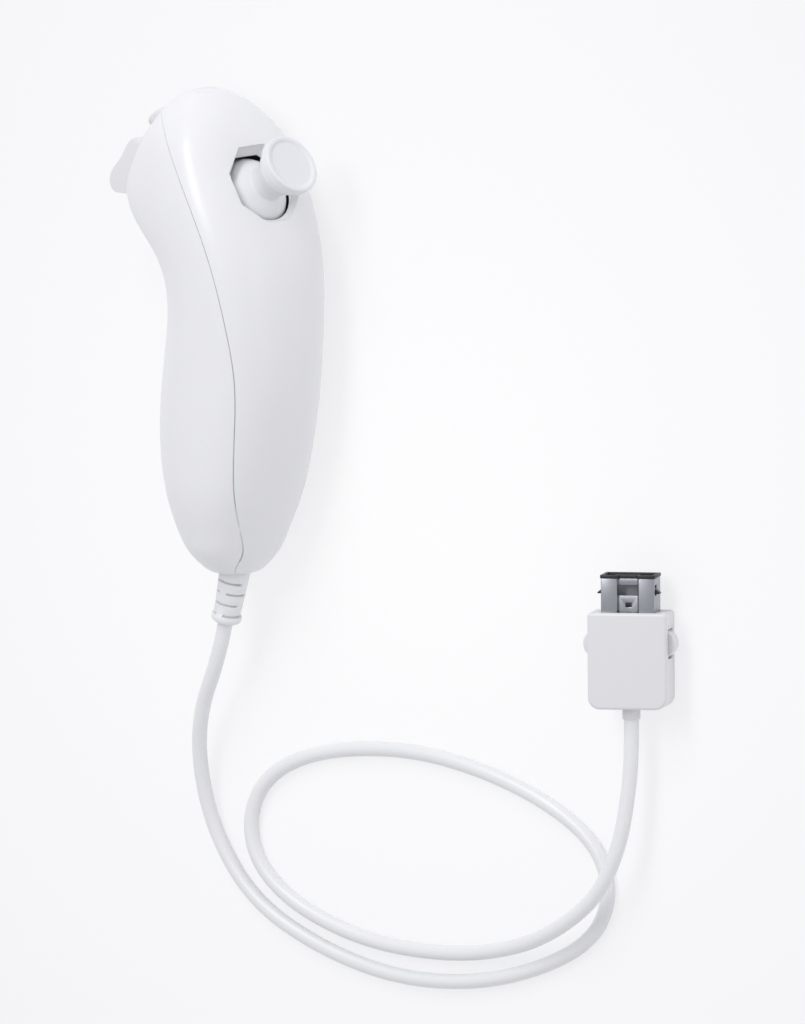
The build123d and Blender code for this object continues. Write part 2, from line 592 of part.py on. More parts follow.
# Lower trigger: lipped finger piece, hollow behind, with a lug for its pin
pivot_place = TRIGGER_HIGH - TRIGGER_PIVOT_INSET
with BuildPart() as z_trigger:
    with BuildSketch(FACE_SIDE):
        with BuildLine():
            finger_surface = Spline(
                (TRIGGER_LOW - TRIGGER_LIP_REACH, TRIGGER_LIP - TRIGGER_LIP_DROP),
                (TRIGGER_LOW - TRIGGER_LIP_REACH + TRIGGER_NOSE_REACH, TRIGGER_LIP - TRIGGER_NOSE_DROP),
                (TRIGGER_LOW, TRIGGER_LIP),
                (TRIGGER_LOW + TRIGGER_DIP_PLACE, TRIGGER_CROWN + TRIGGER_DIP_RISE),
                (TRIGGER_HIGH - TRIGGER_SHOULDER_PLACE, TRIGGER_CROWN),
                (TRIGGER_HIGH, TRIGGER_CROWN - TRIGGER_SHOULDER_DROP),
            )
            Polyline(
                finger_surface @ 1,
                (TRIGGER_HIGH, TRIGGER_FOOT),
                (TRIGGER_LOW, TRIGGER_FOOT),
                (TRIGGER_LOW, TRIGGER_FOOT + TRIGGER_UNDERCUT),
                finger_surface @ 0,
            )
        make_face()
    extrude(amount=TRIGGER_HALF_WIDTH, both=True)
    with BuildSketch(FACE.offset(-TRIGGER_BACK)):
        with Locations(((TRIGGER_LOW - TRIGGER_LIP_REACH - TRIGGER_CORNER + TRIGGER_HIGH) / 2, 0)):
            RectangleRounded(
                TRIGGER_HIGH - TRIGGER_LOW + TRIGGER_LIP_REACH + TRIGGER_CORNER,
                2 * TRIGGER_HALF_WIDTH,
                TRIGGER_CORNER,
            )
    extrude(amount=TRIGGER_BACK + 2 * TRIGGER_LIP, mode=Mode.INTERSECT)
    with BuildSketch(FACE.offset(-TRIGGER_BACK)):
        with Locations(((TRIGGER_INNER_LOW + TRIGGER_HIGH) / 2, 0)):
            RectangleRounded(TRIGGER_HIGH - TRIGGER_INNER_LOW, 2 * TRIGGER_HALF_WIDTH, TRIGGER_CORNER)
    extrude(amount=TRIGGER_BACK + TRIGGER_FOOT)
    with BuildSketch(FACE.offset(-TRIGGER_BACK)):
        with Locations(((TRIGGER_INNER_LOW + TRIGGER_HIGH - TRIGGER_LUG_RADIUS) / 2, 0)):
            Rectangle(
                TRIGGER_HIGH - TRIGGER_LUG_RADIUS - TRIGGER_INNER_LOW - 2 * TRIGGER_WALL,
                2 * (TRIGGER_HALF_WIDTH - TRIGGER_WALL),
            )
    extrude(amount=TRIGGER_BACK + TRIGGER_CROWN - 2.5 * TRIGGER_WALL, mode=Mode.SUBTRACT)
    with BuildSketch(FACE.offset(-TRIGGER_STEM_END)):
        with Locations((TRIGGER_STEM_PLACE, 0)):
            Circle(TRIGGER_STEM_RADIUS)
    extrude(amount=TRIGGER_STEM_END + TRIGGER_CROWN - 2 * TRIGGER_WALL)
    with BuildSketch(FACE_SIDE):
        with Locations((pivot_place, -TRIGGER_PIVOT_DEPTH)):
            Circle(TRIGGER_LUG_RADIUS)
        with Locations((pivot_place, -TRIGGER_PIVOT_DEPTH / 2 - TRIGGER_BACK / 2)):
            Rectangle(2 * TRIGGER_PIVOT_INSET, TRIGGER_PIVOT_DEPTH - TRIGGER_BACK + TRIGGER_LUG_OVERLAP)
        with Locations((pivot_place - TRIGGER_LUG_RADIUS / 2, -TRIGGER_PIVOT_DEPTH / 2)):
            Rectangle(TRIGGER_LUG_RADIUS, TRIGGER_PIVOT_DEPTH)
    extrude(amount=TRIGGER_HALF_WIDTH - TRIGGER_LUG_INSET, both=True)
    with BuildSketch(FACE_SIDE):
        with Locations((pivot_place, -TRIGGER_PIVOT_DEPTH)):
            Circle(PIN_RADIUS + PIN_CLEARANCE)
    extrude(amount=TRIGGER_HALF_WIDTH, both=True, mode=Mode.SUBTRACT)

# Pin that the trigger swings on, held in the walls of the switch holder
pin_reach = PLATE_HALF_WIDTH - LEDGE - HOLDER_CLEARANCE
with BuildPart() as trigger_pin:
    with BuildSketch(FACE_SIDE):
        with Locations((pivot_place, -TRIGGER_PIVOT_DEPTH)):
            Circle(PIN_RADIUS)
    extrude(amount=pin_reach, both=True)

# Upper button: sloped oval crown, retaining flange and stem
with BuildPart() as c_button:
    with BuildSketch(FACE.offset(-BUTTON_FLANGE_DEPTH)):
        with Locations(((BUTTON_LOW + BUTTON_HIGH) / 2, 0)):
            RectangleRounded(BUTTON_HIGH - BUTTON_LOW, 2 * BUTTON_HALF_WIDTH, BUTTON_CORNER)
    extrude(amount=BUTTON_FLANGE_DEPTH + BUTTON_LOW_RISE + OVERCUT)
    with BuildSketch(FACE_SIDE):
        with BuildLine():
            crown = ThreePointArc(
                (BUTTON_LOW - OVERCUT, BUTTON_LOW_RISE),
                ((BUTTON_LOW + BUTTON_HIGH) / 2, BUTTON_MIDDLE_RISE),
                (BUTTON_HIGH + OVERCUT, BUTTON_HIGH_RISE),
            )
            Polyline(
                crown @ 1,
                (BUTTON_HIGH + OVERCUT, BUTTON_LOW_RISE + 2 * OVERCUT),
                (BUTTON_LOW - OVERCUT, BUTTON_LOW_RISE + 2 * OVERCUT),
                crown @ 0,
            )
        make_face()
    extrude(amount=2 * BUTTON_HALF_WIDTH, both=True, mode=Mode.SUBTRACT)
    crown_face = c_button.faces().sort_by(lambda face: FACE.to_local_coords(face.center()).Z)[-1]
    fillet(crown_face.edges(), radius=BUTTON_ROUNDING)
    with BuildSketch(FACE.offset(-BUTTON_FLANGE_DEPTH - BUTTON_FLANGE_THICKNESS)):
        with Locations(((BUTTON_LOW + BUTTON_HIGH) / 2, 0)):
            RectangleRounded(
                BUTTON_HIGH - BUTTON_LOW + 2 * BUTTON_FLANGE,
                2 * (BUTTON_HALF_WIDTH + 2 * BUTTON_FLANGE),
                BUTTON_CORNER + BUTTON_FLANGE,
            )
    extrude(amount=BUTTON_FLANGE_THICKNESS)
    with BuildSketch(FACE.offset(-BUTTON_STEM_END)):
        with Locations(((BUTTON_LOW + BUTTON_HIGH) / 2, 0)):
            Circle(BUTTON_STEM_RADIUS)
    extrude(amount=BUTTON_STEM_END - BUTTON_FLANGE_DEPTH)

# Switch holder behind the plate
holder_outer = LEDGE + HOLDER_CLEARANCE
holder_inner = holder_outer + HOLDER_WALL
board_front = PAD_TOP + PAD_THICKNESS
holder_floor_front = board_front + SWITCH_BOARD
with BuildPart() as button_holder:
    add(plate_block(holder_outer, PLATE_THICKNESS, holder_floor_front + HOLDER_FLOOR))
    add(plate_block(holder_inner, 0, holder_floor_front), mode=Mode.SUBTRACT)
    with BuildSketch(FACE_SIDE):
        with Locations((pivot_place, -TRIGGER_PIVOT_DEPTH)):
            Circle(PIN_RADIUS + PIN_CLEARANCE)
    extrude(amount=PLATE_HALF_WIDTH, both=True, mode=Mode.SUBTRACT)
    with BuildSketch(FACE.offset(-holder_floor_front - HOLDER_FLOOR)):
        with Locations((RIBBON_PLACE, 0)):
            Rectangle(RIBBON_SLOT, RIBBON_WIDTH + 2 * STACK_CLEARANCE)
    extrude(amount=HOLDER_FLOOR, mode=Mode.SUBTRACT)

# Rubber pad with a dome under each button
stack_inset = holder_inner + STACK_CLEARANCE
button_places = [TRIGGER_STEM_PLACE, (BUTTON_LOW + BUTTON_HIGH) / 2]
with BuildPart() as button_membrane:
    add(plate_block(stack_inset, PAD_TOP, board_front))
    with BuildSketch(FACE.offset(-PAD_TOP)):
        with Locations(*[(place, 0) for place in button_places]):
            Circle(DOME_RADIUS)
    extrude(amount=PAD_TOP - DOME_TOP, taper=DOME_TAPER)

# Switch board under the pad
with BuildPart() as button_board:
    add(plate_block(stack_inset, board_front, holder_floor_front))

# Flat ribbon from the switch board to the main board
ribbon_start = FACE.from_local_coords(Vector(RIBBON_PLACE, 0, -holder_floor_front))
ribbon_end = STICK.from_local_coords(Vector(0, -RIBBON_BOARD_PLACE, -HOUSING_BOTTOM - BOARD_THICKNESS))
ribbon_out = ribbon_start - FACE_OUT * RIBBON_LEAD
ribbon_in = ribbon_end - STICK_AXIS * RIBBON_LEAD
with BuildPart() as button_ribbon:
    with BuildSketch(Plane.XY):
        with BuildLine():
            FilletPolyline(ribbon_start, ribbon_out, ribbon_in, ribbon_end, radius=RIBBON_BEND)
        trace(line_width=RIBBON_THICKNESS)
    extrude(amount=RIBBON_WIDTH / 2, both=True)

# Thumb cap, neck, dome and hub in one moulding
dome_inner = DOME_SPHERE - DOME_WALL
edge_outer = sqrt(DOME_SPHERE**2 - DOME_EDGE_HEIGHT**2)
edge_inner = sqrt(dome_inner**2 - DOME_EDGE_HEIGHT**2)
neck_height = sqrt(DOME_SPHERE**2 - NECK_RADIUS**2)
hub_height = sqrt(dome_inner**2 - HUB_RADIUS**2)
cap_low = CAP_TOP - CAP_EDGE
round_middle = CAP_ROUNDING * (1 - sqrt(0.5))
with BuildPart() as stick_cap:
    with BuildSketch(STICK_ACROSS):
        with BuildLine():
            RadiusArc((edge_outer, DOME_EDGE_HEIGHT), (NECK_RADIUS, neck_height), -DOME_SPHERE)
            waist = Spline(
                (NECK_RADIUS, neck_height),
                (NECK_RADIUS - NECK_WAIST, neck_height + NECK_WAIST_RISE),
                (NECK_RADIUS + NECK_FLARE, neck_height + NECK_FLARE_RISE),
                (CAP_TIER_RADIUS, cap_low - CAP_TIER),
            )
            Polyline(
                waist @ 1,
                (CAP_TIER_RADIUS, cap_low - CAP_STEP),
                (CAP_RADIUS, cap_low + CAP_STEP),
                (CAP_RADIUS, CAP_TOP - CAP_ROUNDING),
            )
            ThreePointArc(
                (CAP_RADIUS, CAP_TOP - CAP_ROUNDING),
                (CAP_RADIUS - round_middle, CAP_TOP - round_middle),
                (CAP_RADIUS - CAP_ROUNDING, CAP_TOP),
            )
            Polyline(
                (CAP_RADIUS - CAP_ROUNDING, CAP_TOP),
                (CAP_DISH_RADIUS + CAP_DISH_DEPTH, CAP_TOP),
                (CAP_DISH_RADIUS, CAP_TOP - CAP_DISH_DEPTH),
                (0, CAP_TOP - CAP_DISH_DEPTH),
                (0, LEVER_HIGH + RUN_CLEARANCE),
                (LEVER_RADIUS + LEVER_CLEARANCE, LEVER_HIGH + RUN_CLEARANCE),
                (LEVER_RADIUS + LEVER_CLEARANCE, HUB_LOW),
                (HUB_RADIUS, HUB_LOW),
                (HUB_RADIUS, hub_height),
            )
            RadiusArc((HUB_RADIUS, hub_height), (edge_inner, DOME_EDGE_HEIGHT), dome_inner)
            Line((edge_inner, DOME_EDGE_HEIGHT), (edge_outer, DOME_EDGE_HEIGHT))
        make_face()
    revolve(axis=Axis(STICK.origin, STICK_AXIS))

# Lever of the stick, with the cross pin that it tilts on
with BuildPart() as stick_lever:
    with BuildSketch(STICK.offset(-LEVER_LOW)):
        Circle(LEVER_RADIUS)
    extrude(amount=LEVER_LOW + LEVER_HIGH)
    with BuildSketch(STICK_ACROSS):
        Circle(CROSS_PIN_RADIUS)
    extrude(amount=RING_WIDTH / 2, both=True)

# Lower gimbal: ring round the lever, on trunnions that point to the tail and the head
with BuildPart() as gimbal_lower:
    with BuildSketch(STICK.offset(-RING_HEIGHT / 2)):
        Rectangle(RING_WIDTH, RING_LENGTH)
        Rectangle(RING_HOLE_WIDTH, RING_HOLE_LENGTH, mode=Mode.SUBTRACT)
    extrude(amount=RING_HEIGHT)
    with BuildSketch(STICK_ACROSS):
        Circle(CROSS_PIN_RADIUS + RUN_CLEARANCE)
    extrude(amount=RING_WIDTH, both=True, mode=Mode.SUBTRACT)
    with BuildSketch(STICK_ALONG.offset(RING_LENGTH / 2)):
        Circle(TRUNNION_RADIUS)
    extrude(amount=HOUSING_HALF - RING_LENGTH / 2)
    with BuildSketch(STICK_ALONG.offset(-HOUSING_HALF - SENSOR_BORE_DEPTH + RUN_CLEARANCE)):
        Circle(TRUNNION_RADIUS)
    extrude(amount=HOUSING_HALF + SENSOR_BORE_DEPTH - RUN_CLEARANCE - RING_LENGTH / 2)

# Upper gimbal: slotted arch over the lower one, on trunnions across the handset
with BuildPart() as gimbal_upper:
    with BuildSketch(STICK_ALONG.offset(-ARCH_WIDTH / 2)):
        with BuildLine():
            Polyline(
                (ARCH_OUTER, -TRUNNION_RADIUS), (ARCH_OUTER, ARCH_HIGH),
                (-ARCH_OUTER, ARCH_HIGH), (-ARCH_OUTER, -TRUNNION_RADIUS),
                (-ARCH_INNER, -TRUNNION_RADIUS), (-ARCH_INNER, ARCH_LOW),
                (ARCH_INNER, ARCH_LOW), (ARCH_INNER, -TRUNNION_RADIUS),
                (ARCH_OUTER, -TRUNNION_RADIUS),
            )
        make_face()
    extrude(amount=ARCH_WIDTH)
    with BuildSketch(STICK.offset(ARCH_LOW)):
        Rectangle(2 * SLOT_HALF_LENGTH, 2 * SLOT_HALF_WIDTH)
    extrude(amount=ARCH_HIGH - ARCH_LOW, mode=Mode.SUBTRACT)
    with BuildSketch(STICK_ACROSS.offset(ARCH_INNER)):
        Circle(TRUNNION_RADIUS)
    extrude(amount=HOUSING_HALF + SENSOR_BORE_DEPTH - RUN_CLEARANCE - ARCH_INNER)
    with BuildSketch(STICK_ACROSS.offset(-HOUSING_HALF)):
        Circle(TRUNNION_RADIUS)
    extrude(amount=HOUSING_HALF - ARCH_INNER)

# Stick housing with bores for both pairs of trunnions
with BuildPart() as stick_housing:
    with BuildSketch(STICK.offset(-HOUSING_BOTTOM)):
        Rectangle(2 * HOUSING_HALF, 2 * HOUSING_HALF)
    extrude(amount=HOUSING_BOTTOM + HOUSING_TOP)
    with BuildSketch(STICK.offset(HOUSING_WALL - HOUSING_BOTTOM)):
        Rectangle(2 * (HOUSING_HALF - HOUSING_WALL), 2 * (HOUSING_HALF - HOUSING_WALL))
    extrude(amount=HOUSING_BOTTOM + HOUSING_TOP, mode=Mode.SUBTRACT)
    with BuildSketch(STICK_ALONG):
        Circle(TRUNNION_RADIUS + RUN_CLEARANCE)
    extrude(amount=HOUSING_HALF, both=True, mode=Mode.SUBTRACT)
    with BuildSketch(STICK_ACROSS):
        Circle(TRUNNION_RADIUS + RUN_CLEARANCE)
    extrude(amount=HOUSING_HALF, both=True, mode=Mode.SUBTRACT)

# Angle sensors on two sides of the housing
with BuildPart() as angle_sensor_side:
    with BuildSketch(STICK_ACROSS.offset(HOUSING_HALF)):
        with Locations((0, (SENSOR_TOP - HOUSING_BOTTOM) / 2)):
            Rectangle(SENSOR_WIDTH, SENSOR_TOP + HOUSING_BOTTOM)
    extrude(amount=SENSOR_THICKNESS)
    with BuildSketch(STICK_ACROSS.offset(HOUSING_HALF)):
        Circle(TRUNNION_RADIUS + RUN_CLEARANCE)
    extrude(amount=SENSOR_BORE_DEPTH, mode=Mode.SUBTRACT)

with BuildPart() as angle_sensor_tail:
    with BuildSketch(STICK_ALONG.offset(-HOUSING_HALF)):
        with Locations((0, (SENSOR_TOP - HOUSING_BOTTOM) / 2)):
            Rectangle(SENSOR_WIDTH, SENSOR_TOP + HOUSING_BOTTOM)
    extrude(amount=-SENSOR_THICKNESS)
    with BuildSketch(STICK_ALONG.offset(-HOUSING_HALF)):
        Circle(TRUNNION_RADIUS + RUN_CLEARANCE)
    extrude(amount=-SENSOR_BORE_DEPTH, mode=Mode.SUBTRACT)

# Centring spring and the plate that it lifts
spring_top = -SPRING_PLATE_TOP - SPRING_PLATE_THICKNESS
with BuildPart() as spring_plate:
    with BuildSketch(STICK.offset(spring_top)):
        Circle(SPRING_PLATE_RADIUS)
    extrude(amount=SPRING_PLATE_THICKNESS)

spring_foot = HOUSING_WALL - HOUSING_BOTTOM
with BuildPart() as return_spring:
    with BuildSketch(STICK.offset(spring_foot)):
        Circle(SPRING_RADIUS)
        Circle(SPRING_RADIUS - SPRING_WIRE, mode=Mode.SUBTRACT)
    extrude(amount=spring_top - spring_foot)

# Main board with its chips and the connector of the cord
board_back = -HOUSING_BOTTOM - BOARD_THICKNESS
with BuildPart() as main_board:
    with BuildSketch(STICK.offset(board_back)):
        with Locations((0, (BOARD_TAIL_END - BOARD_HEAD_END) / 2)):
            RectangleRounded(2 * BOARD_HALF_WIDTH, BOARD_TAIL_END + BOARD_HEAD_END, BOARD_CORNER)
        with Locations(*board_screw_spots):
            Circle(BOARD_SCREW_RADIUS + SCREW_PILOT_GAP, mode=Mode.SUBTRACT)
    extrude(amount=BOARD_THICKNESS)

with BuildPart() as main_chip:
    with BuildSketch(STICK.offset(-HOUSING_BOTTOM)):
        with Locations((0, CHIP_PLACE)):
            Rectangle(CHIP_SIZE, CHIP_SIZE)
    extrude(amount=CHIP_HEIGHT)

with BuildPart() as motion_sensor:
    with BuildSketch(STICK.offset(-HOUSING_BOTTOM)):
        with Locations((SENSOR_CHIP_ACROSS, CHIP_PLACE + SENSOR_CHIP_SIZE / 2)):
            Rectangle(SENSOR_CHIP_SIZE, SENSOR_CHIP_SIZE)
    extrude(amount=CHIP_HEIGHT)

connector_tail = BOARD_TAIL_END - CONNECTOR_INSET
with BuildPart() as cable_connector:
    with BuildSketch(STICK.offset(board_back - CONNECTOR_HEIGHT)):
        with Locations((CONNECTOR_ACROSS, connector_tail - CONNECTOR_LENGTH / 2)):
            Rectangle(CONNECTOR_WIDTH, CONNECTOR_LENGTH)
    extrude(amount=CONNECTOR_HEIGHT)

with BuildPart() as board_screws:
    with BuildSketch(STICK.offset(board_back)):
        with Locations(*board_screw_spots):
            Circle(BOARD_SCREW_RADIUS)
    extrude(amount=BOARD_SCREW_LENGTH)
    with BuildSketch(STICK.offset(board_back - BOARD_SCREW_HEAD)):
        with Locations(*board_screw_spots):
            Circle(BOARD_SCREW_HEAD_RADIUS)
    extrude(amount=BOARD_SCREW_HEAD)

# Casing screws with three-winged recesses
with BuildPart() as shell_screws:
    with BuildSketch(Plane.YZ.offset(SCREW_SEAT - SCREW_HEAD_HEIGHT)):
        with Locations(*screw_spots):
            Circle(SCREW_HEAD_RADIUS)
    extrude(amount=SCREW_HEAD_HEIGHT)
    with BuildSketch(Plane.YZ.offset(SCREW_SEAT)):
        with Locations(*screw_spots):
            Circle(SCREW_SHANK_RADIUS)
    extrude(amount=SCREW_SHANK_END - SCREW_SEAT)
    with BuildSketch(Plane.YZ.offset(SCREW_SEAT - SCREW_HEAD_HEIGHT)):
        with Locations(*screw_spots):
            with PolarLocations(DRIVE_LENGTH / 2, 3):
                Rectangle(DRIVE_LENGTH, DRIVE_WIDTH)
    extrude(amount=DRIVE_DEPTH, mode=Mode.SUBTRACT)

# Strain relief: slotted boot outside the tail, neck and flange inside it
lip_low = RELIEF_LENGTH - RELIEF_LIP_LENGTH
with BuildPart() as cable_relief:
    with BuildSketch(RELIEF_SIDE):
        with BuildLine():
            Polyline(
                (0, -WALL), (RELIEF_RADIUS, -WALL), (RELIEF_RADIUS, 0),
                (RELIEF_END_RADIUS, lip_low),
            )
            lip = Spline(
                (RELIEF_END_RADIUS, lip_low),
                (RELIEF_END_RADIUS + RELIEF_LIP, lip_low + RELIEF_LIP_LENGTH / 3),
                (RELIEF_END_RADIUS + RELIEF_LIP, lip_low + 2 * RELIEF_LIP_LENGTH / 3),
                (RELIEF_END_RADIUS - RELIEF_LIP, RELIEF_LENGTH),
            )
            Polyline(lip @ 1, (0, RELIEF_LENGTH), (0, -WALL))
        make_face()
    revolve(axis=Axis(RELIEF.origin, RELIEF_AXIS))
    for turn, place in enumerate(GROOVE_PLACES):
        with BuildPart(mode=Mode.PRIVATE) as groove:
            with BuildSketch(RELIEF.offset(place - GROOVE_WIDTH / 2)):
                Circle(RELIEF_RADIUS + GROOVE_DEPTH)
                Circle(RELIEF_END_RADIUS - GROOVE_DEPTH, mode=Mode.SUBTRACT)
                with PolarLocations(RELIEF_RADIUS, 2, GROOVE_TURN + 90 * (turn % 2)):
                    Rectangle(2 * GROOVE_BRIDGE, GROOVE_BRIDGE, mode=Mode.SUBTRACT)
            extrude(amount=GROOVE_WIDTH)
        add(groove.part, mode=Mode.SUBTRACT)
    split(bisect_by=Plane.XZ, keep=Keep.TOP)
    with BuildSketch(TAIL):
        Circle(RELIEF_NECK_RADIUS)
    extrude(amount=WALL + RELIEF_POCKET_GAP)
    with BuildSketch(TAIL.offset(WALL + RELIEF_POCKET_GAP)):
        Circle(RELIEF_FLANGE_RADIUS)
    extrude(amount=RELIEF_FLANGE_THICKNESS)

# Cable inside the handset, from the relief's flange past the screw posts to the board
cable_start = Vector(RELIEF_CENTRE, WALL + RELIEF_POCKET_GAP + RELIEF_FLANGE_THICKNESS, 0)
cable_end = STICK.from_local_coords(
    Vector(CONNECTOR_ACROSS, connector_tail, board_back - CONNECTOR_HEIGHT / 2)
)
cable_points = [
    cable_start,
    cable_start + Vector(0, INNER_CABLE_LEAD, 0),
    *[Vector(thumb, place, -SCREW_POST_RADIUS - 2 * INNER_CABLE_RADIUS) for thumb, place in CABLE_BENDS],
    cable_end + STICK.y_dir * INNER_CABLE_LEAD,
    cable_end,
]
with BuildPart() as inner_cable:
    with BuildLine():
        FilletPolyline(*cable_points, radius=INNER_CABLE_BEND)
    with BuildSketch(Plane(origin=cable_start, z_dir=(0, 1, 0))):
        Circle(INNER_CABLE_RADIUS)
    sweep()


def plug_outline(inset: float, nose_radius: float) -> Face:
    """Return the plug's outline in its middle plane, drawn in by inset."""
    half = PLUG_WIDTH / 2 - inset
    tail_radius = PLUG_TAIL_RADIUS - inset
    with BuildSketch(Plane.XY) as outline:
        with BuildLine():
            FilletPolyline(
                (-half, inset), (half, inset), (half, PLUG_LENGTH - inset), (-half, PLUG_LENGTH - inset),
                radius=[tail_radius, tail_radius, nose_radius, nose_radius],
                close=True,
            )
        make_face()
    return outline.sketch.faces()[0]


def shield_outline(inset: float) -> Face:
    """Return the insert's section with the channel in its front face, drawn in by inset."""
    half = SHIELD_WIDTH / 2 - inset
    top = SHIELD_HEIGHT / 2 - inset
    channel = SHIELD_CHANNEL_WIDTH / 2 + inset
    with BuildSketch(Plane(origin=(0, 0, 0), x_dir=(-1, 0, 0), z_dir=(0, 1, 0))) as outline:
        with BuildLine():
            Polyline(
                (half, -top), (half, top), (channel + SHIELD_CHANNEL_SLOPE, top),
                (channel, top - SHIELD_CHANNEL_DEPTH), (-channel, top - SHIELD_CHANNEL_DEPTH),
                (-channel - SHIELD_CHANNEL_SLOPE, top), (-half, top), (-half, -top), (half, -top),
            )
        make_face()
    return outline.sketch.faces()[0]


def plug_half() -> Part:
    """Return the front half of the plug's housing, face up, with its arm posts."""
    inner_top = PLUG_THICKNESS / 2 - PLUG_WALL
    cavity = plug_outline(PLUG_WALL, PLUG_NOSE_RADIUS)
    with BuildPart() as half:
        extrude(to_extrude=plug_outline(0, PLUG_NOSE_RADIUS), amount=PLUG_THICKNESS / 2, dir=(0, 0, 1))
        fillet(half.faces().sort_by(Axis.Z)[-1].edges(), radius=PLUG_EDGE)
        chamfer(half.faces().sort_by(Axis.Z)[0].edges(), length=PLUG_SEAM)
        extrude(to_extrude=cavity, amount=inner_top, dir=(0, 0, 1), mode=Mode.SUBTRACT)
        with BuildSketch(Plane.XZ.offset(-PLUG_LENGTH)):
            Rectangle(SHIELD_WIDTH + 2 * SHIELD_FIT, SHIELD_HEIGHT + 2 * SHIELD_FIT)
        extrude(amount=2 * PLUG_WALL, mode=Mode.SUBTRACT)
        with BuildSketch(Plane.XZ.offset(-PLUG_WALL)):
            Circle(COLLAR_RADIUS + COLLAR_FIT)
        extrude(amount=PLUG_WALL, mode=Mode.SUBTRACT)
        with BuildSketch(Plane.XY):
            with Locations((0, PLUG_BUTTON_PLACE)):
                Rectangle(PLUG_WIDTH, 2 * (PLUG_BUTTON_RADIUS + PLUG_BUTTON_GAP))
        extrude(amount=PLUG_BUTTON_HEIGHT / 2 + PLUG_BUTTON_GAP, mode=Mode.SUBTRACT)
        with BuildSketch(Plane.XY):
            with Locations((ARM_PLACE, ARM_PIVOT_PLACE), (-ARM_PLACE, ARM_PIVOT_PLACE)):
                Circle(ARM_POST_RADIUS)
        extrude(amount=inner_top)
    return half.part


def release_button(side: int) -> Part:
    """Return the plug's push button on one side, with its flange and plunger."""
    crown = PLUG_WIDTH / 2 + PLUG_BUTTON_RISE - PLUG_BUTTON_RADIUS
    flange_top = PLUG_WIDTH / 2 - PLUG_WALL - PLUG_BUTTON_SEAT
    flange_low = flange_top - PLUG_BUTTON_FLANGE_THICKNESS
    plunger_low = ARM_PLACE + ARM_THICKNESS / 2 + PLUG_BUTTON_CONTACT
    with BuildPart() as button:
        with BuildSketch(Plane.XY.offset(-PLUG_BUTTON_HEIGHT / 2)):
            with Locations((side * crown, PLUG_BUTTON_PLACE)):
                Circle(PLUG_BUTTON_RADIUS)
            with Locations((side * (flange_low + flange_top - PLUG_WIDTH) / 2, PLUG_BUTTON_PLACE)):
                Rectangle(PLUG_WIDTH, 3 * PLUG_BUTTON_RADIUS, mode=Mode.SUBTRACT)
        extrude(amount=PLUG_BUTTON_HEIGHT)
        with BuildSketch(Plane.XY.offset(-PLUG_BUTTON_HEIGHT / 2 - PLUG_BUTTON_FLANGE)):
            with Locations((side * (flange_low + flange_top) / 2, PLUG_BUTTON_PLACE)):
                Rectangle(flange_top - flange_low, 2 * (PLUG_BUTTON_RADIUS + PLUG_BUTTON_FLANGE))
        extrude(amount=PLUG_BUTTON_HEIGHT + 2 * PLUG_BUTTON_FLANGE)
        with BuildSketch(Plane.XY.offset(ARM_LOW)):
            with Locations((side * (plunger_low + flange_low) / 2, PLUG_BUTTON_PLACE)):
                Rectangle(flange_low - plunger_low, PLUNGER_WIDTH)
        extrude(amount=ARM_HEIGHT)
    return button.part


def latch_arm(side: int) -> Part:
    """Return one spring-steel latch arm: eye, strip and hook."""
    outer = ARM_PLACE + ARM_THICKNESS / 2
    tip = SHIELD_WIDTH / 2 + ARM_HOOK_RISE
    with BuildPart() as arm:
        with BuildSketch(Plane.XY.offset(ARM_LOW)):
            with BuildLine():
                Polyline(
                    (side * (outer - ARM_THICKNESS), ARM_PIVOT_PLACE),
                    (side * (outer - ARM_THICKNESS), ARM_HOOK_PLACE + ARM_HOOK_LENGTH),
                    (side * outer, ARM_HOOK_PLACE + ARM_HOOK_LENGTH),
                    (side * tip, ARM_HOOK_PLACE + ARM_HOOK_FLAT),
                    (side * tip, ARM_HOOK_PLACE),
                    (side * outer, ARM_HOOK_PLACE),
                    (side * outer, ARM_PIVOT_PLACE),
                    (side * (outer - ARM_THICKNESS), ARM_PIVOT_PLACE),
                )
            make_face()
            with Locations((side * ARM_PLACE, ARM_PIVOT_PLACE)):
                Circle(ARM_POST_RADIUS + RUN_CLEARANCE + ARM_THICKNESS)
                Circle(ARM_POST_RADIUS + RUN_CLEARANCE, mode=Mode.SUBTRACT)
        extrude(amount=ARM_HEIGHT)
    return arm.part


# Plug housing: two covers that meet in its middle plane
with BuildPart() as plug_front_cover:
    add(plug_half())

with BuildPart() as plug_rear_cover:
    add(mirror(plug_half(), about=Plane.XY))
    with BuildSketch(Plane.XY.offset(-PLUG_THICKNESS / 2)):
        with Locations((0, HOOK_PLACE)):
            Rectangle(HOOK_WIDTH, HOOK_ROOT)
    extrude(amount=-HOOK_HEIGHT)
    with BuildSketch(Plane.XY.offset(-PLUG_THICKNESS / 2 - HOOK_HEIGHT)):
        with Locations((0, HOOK_PLACE + (HOOK_LENGTH - HOOK_ROOT) / 2)):
            Rectangle(HOOK_WIDTH, HOOK_LENGTH)
    extrude(amount=HOOK_LIP)

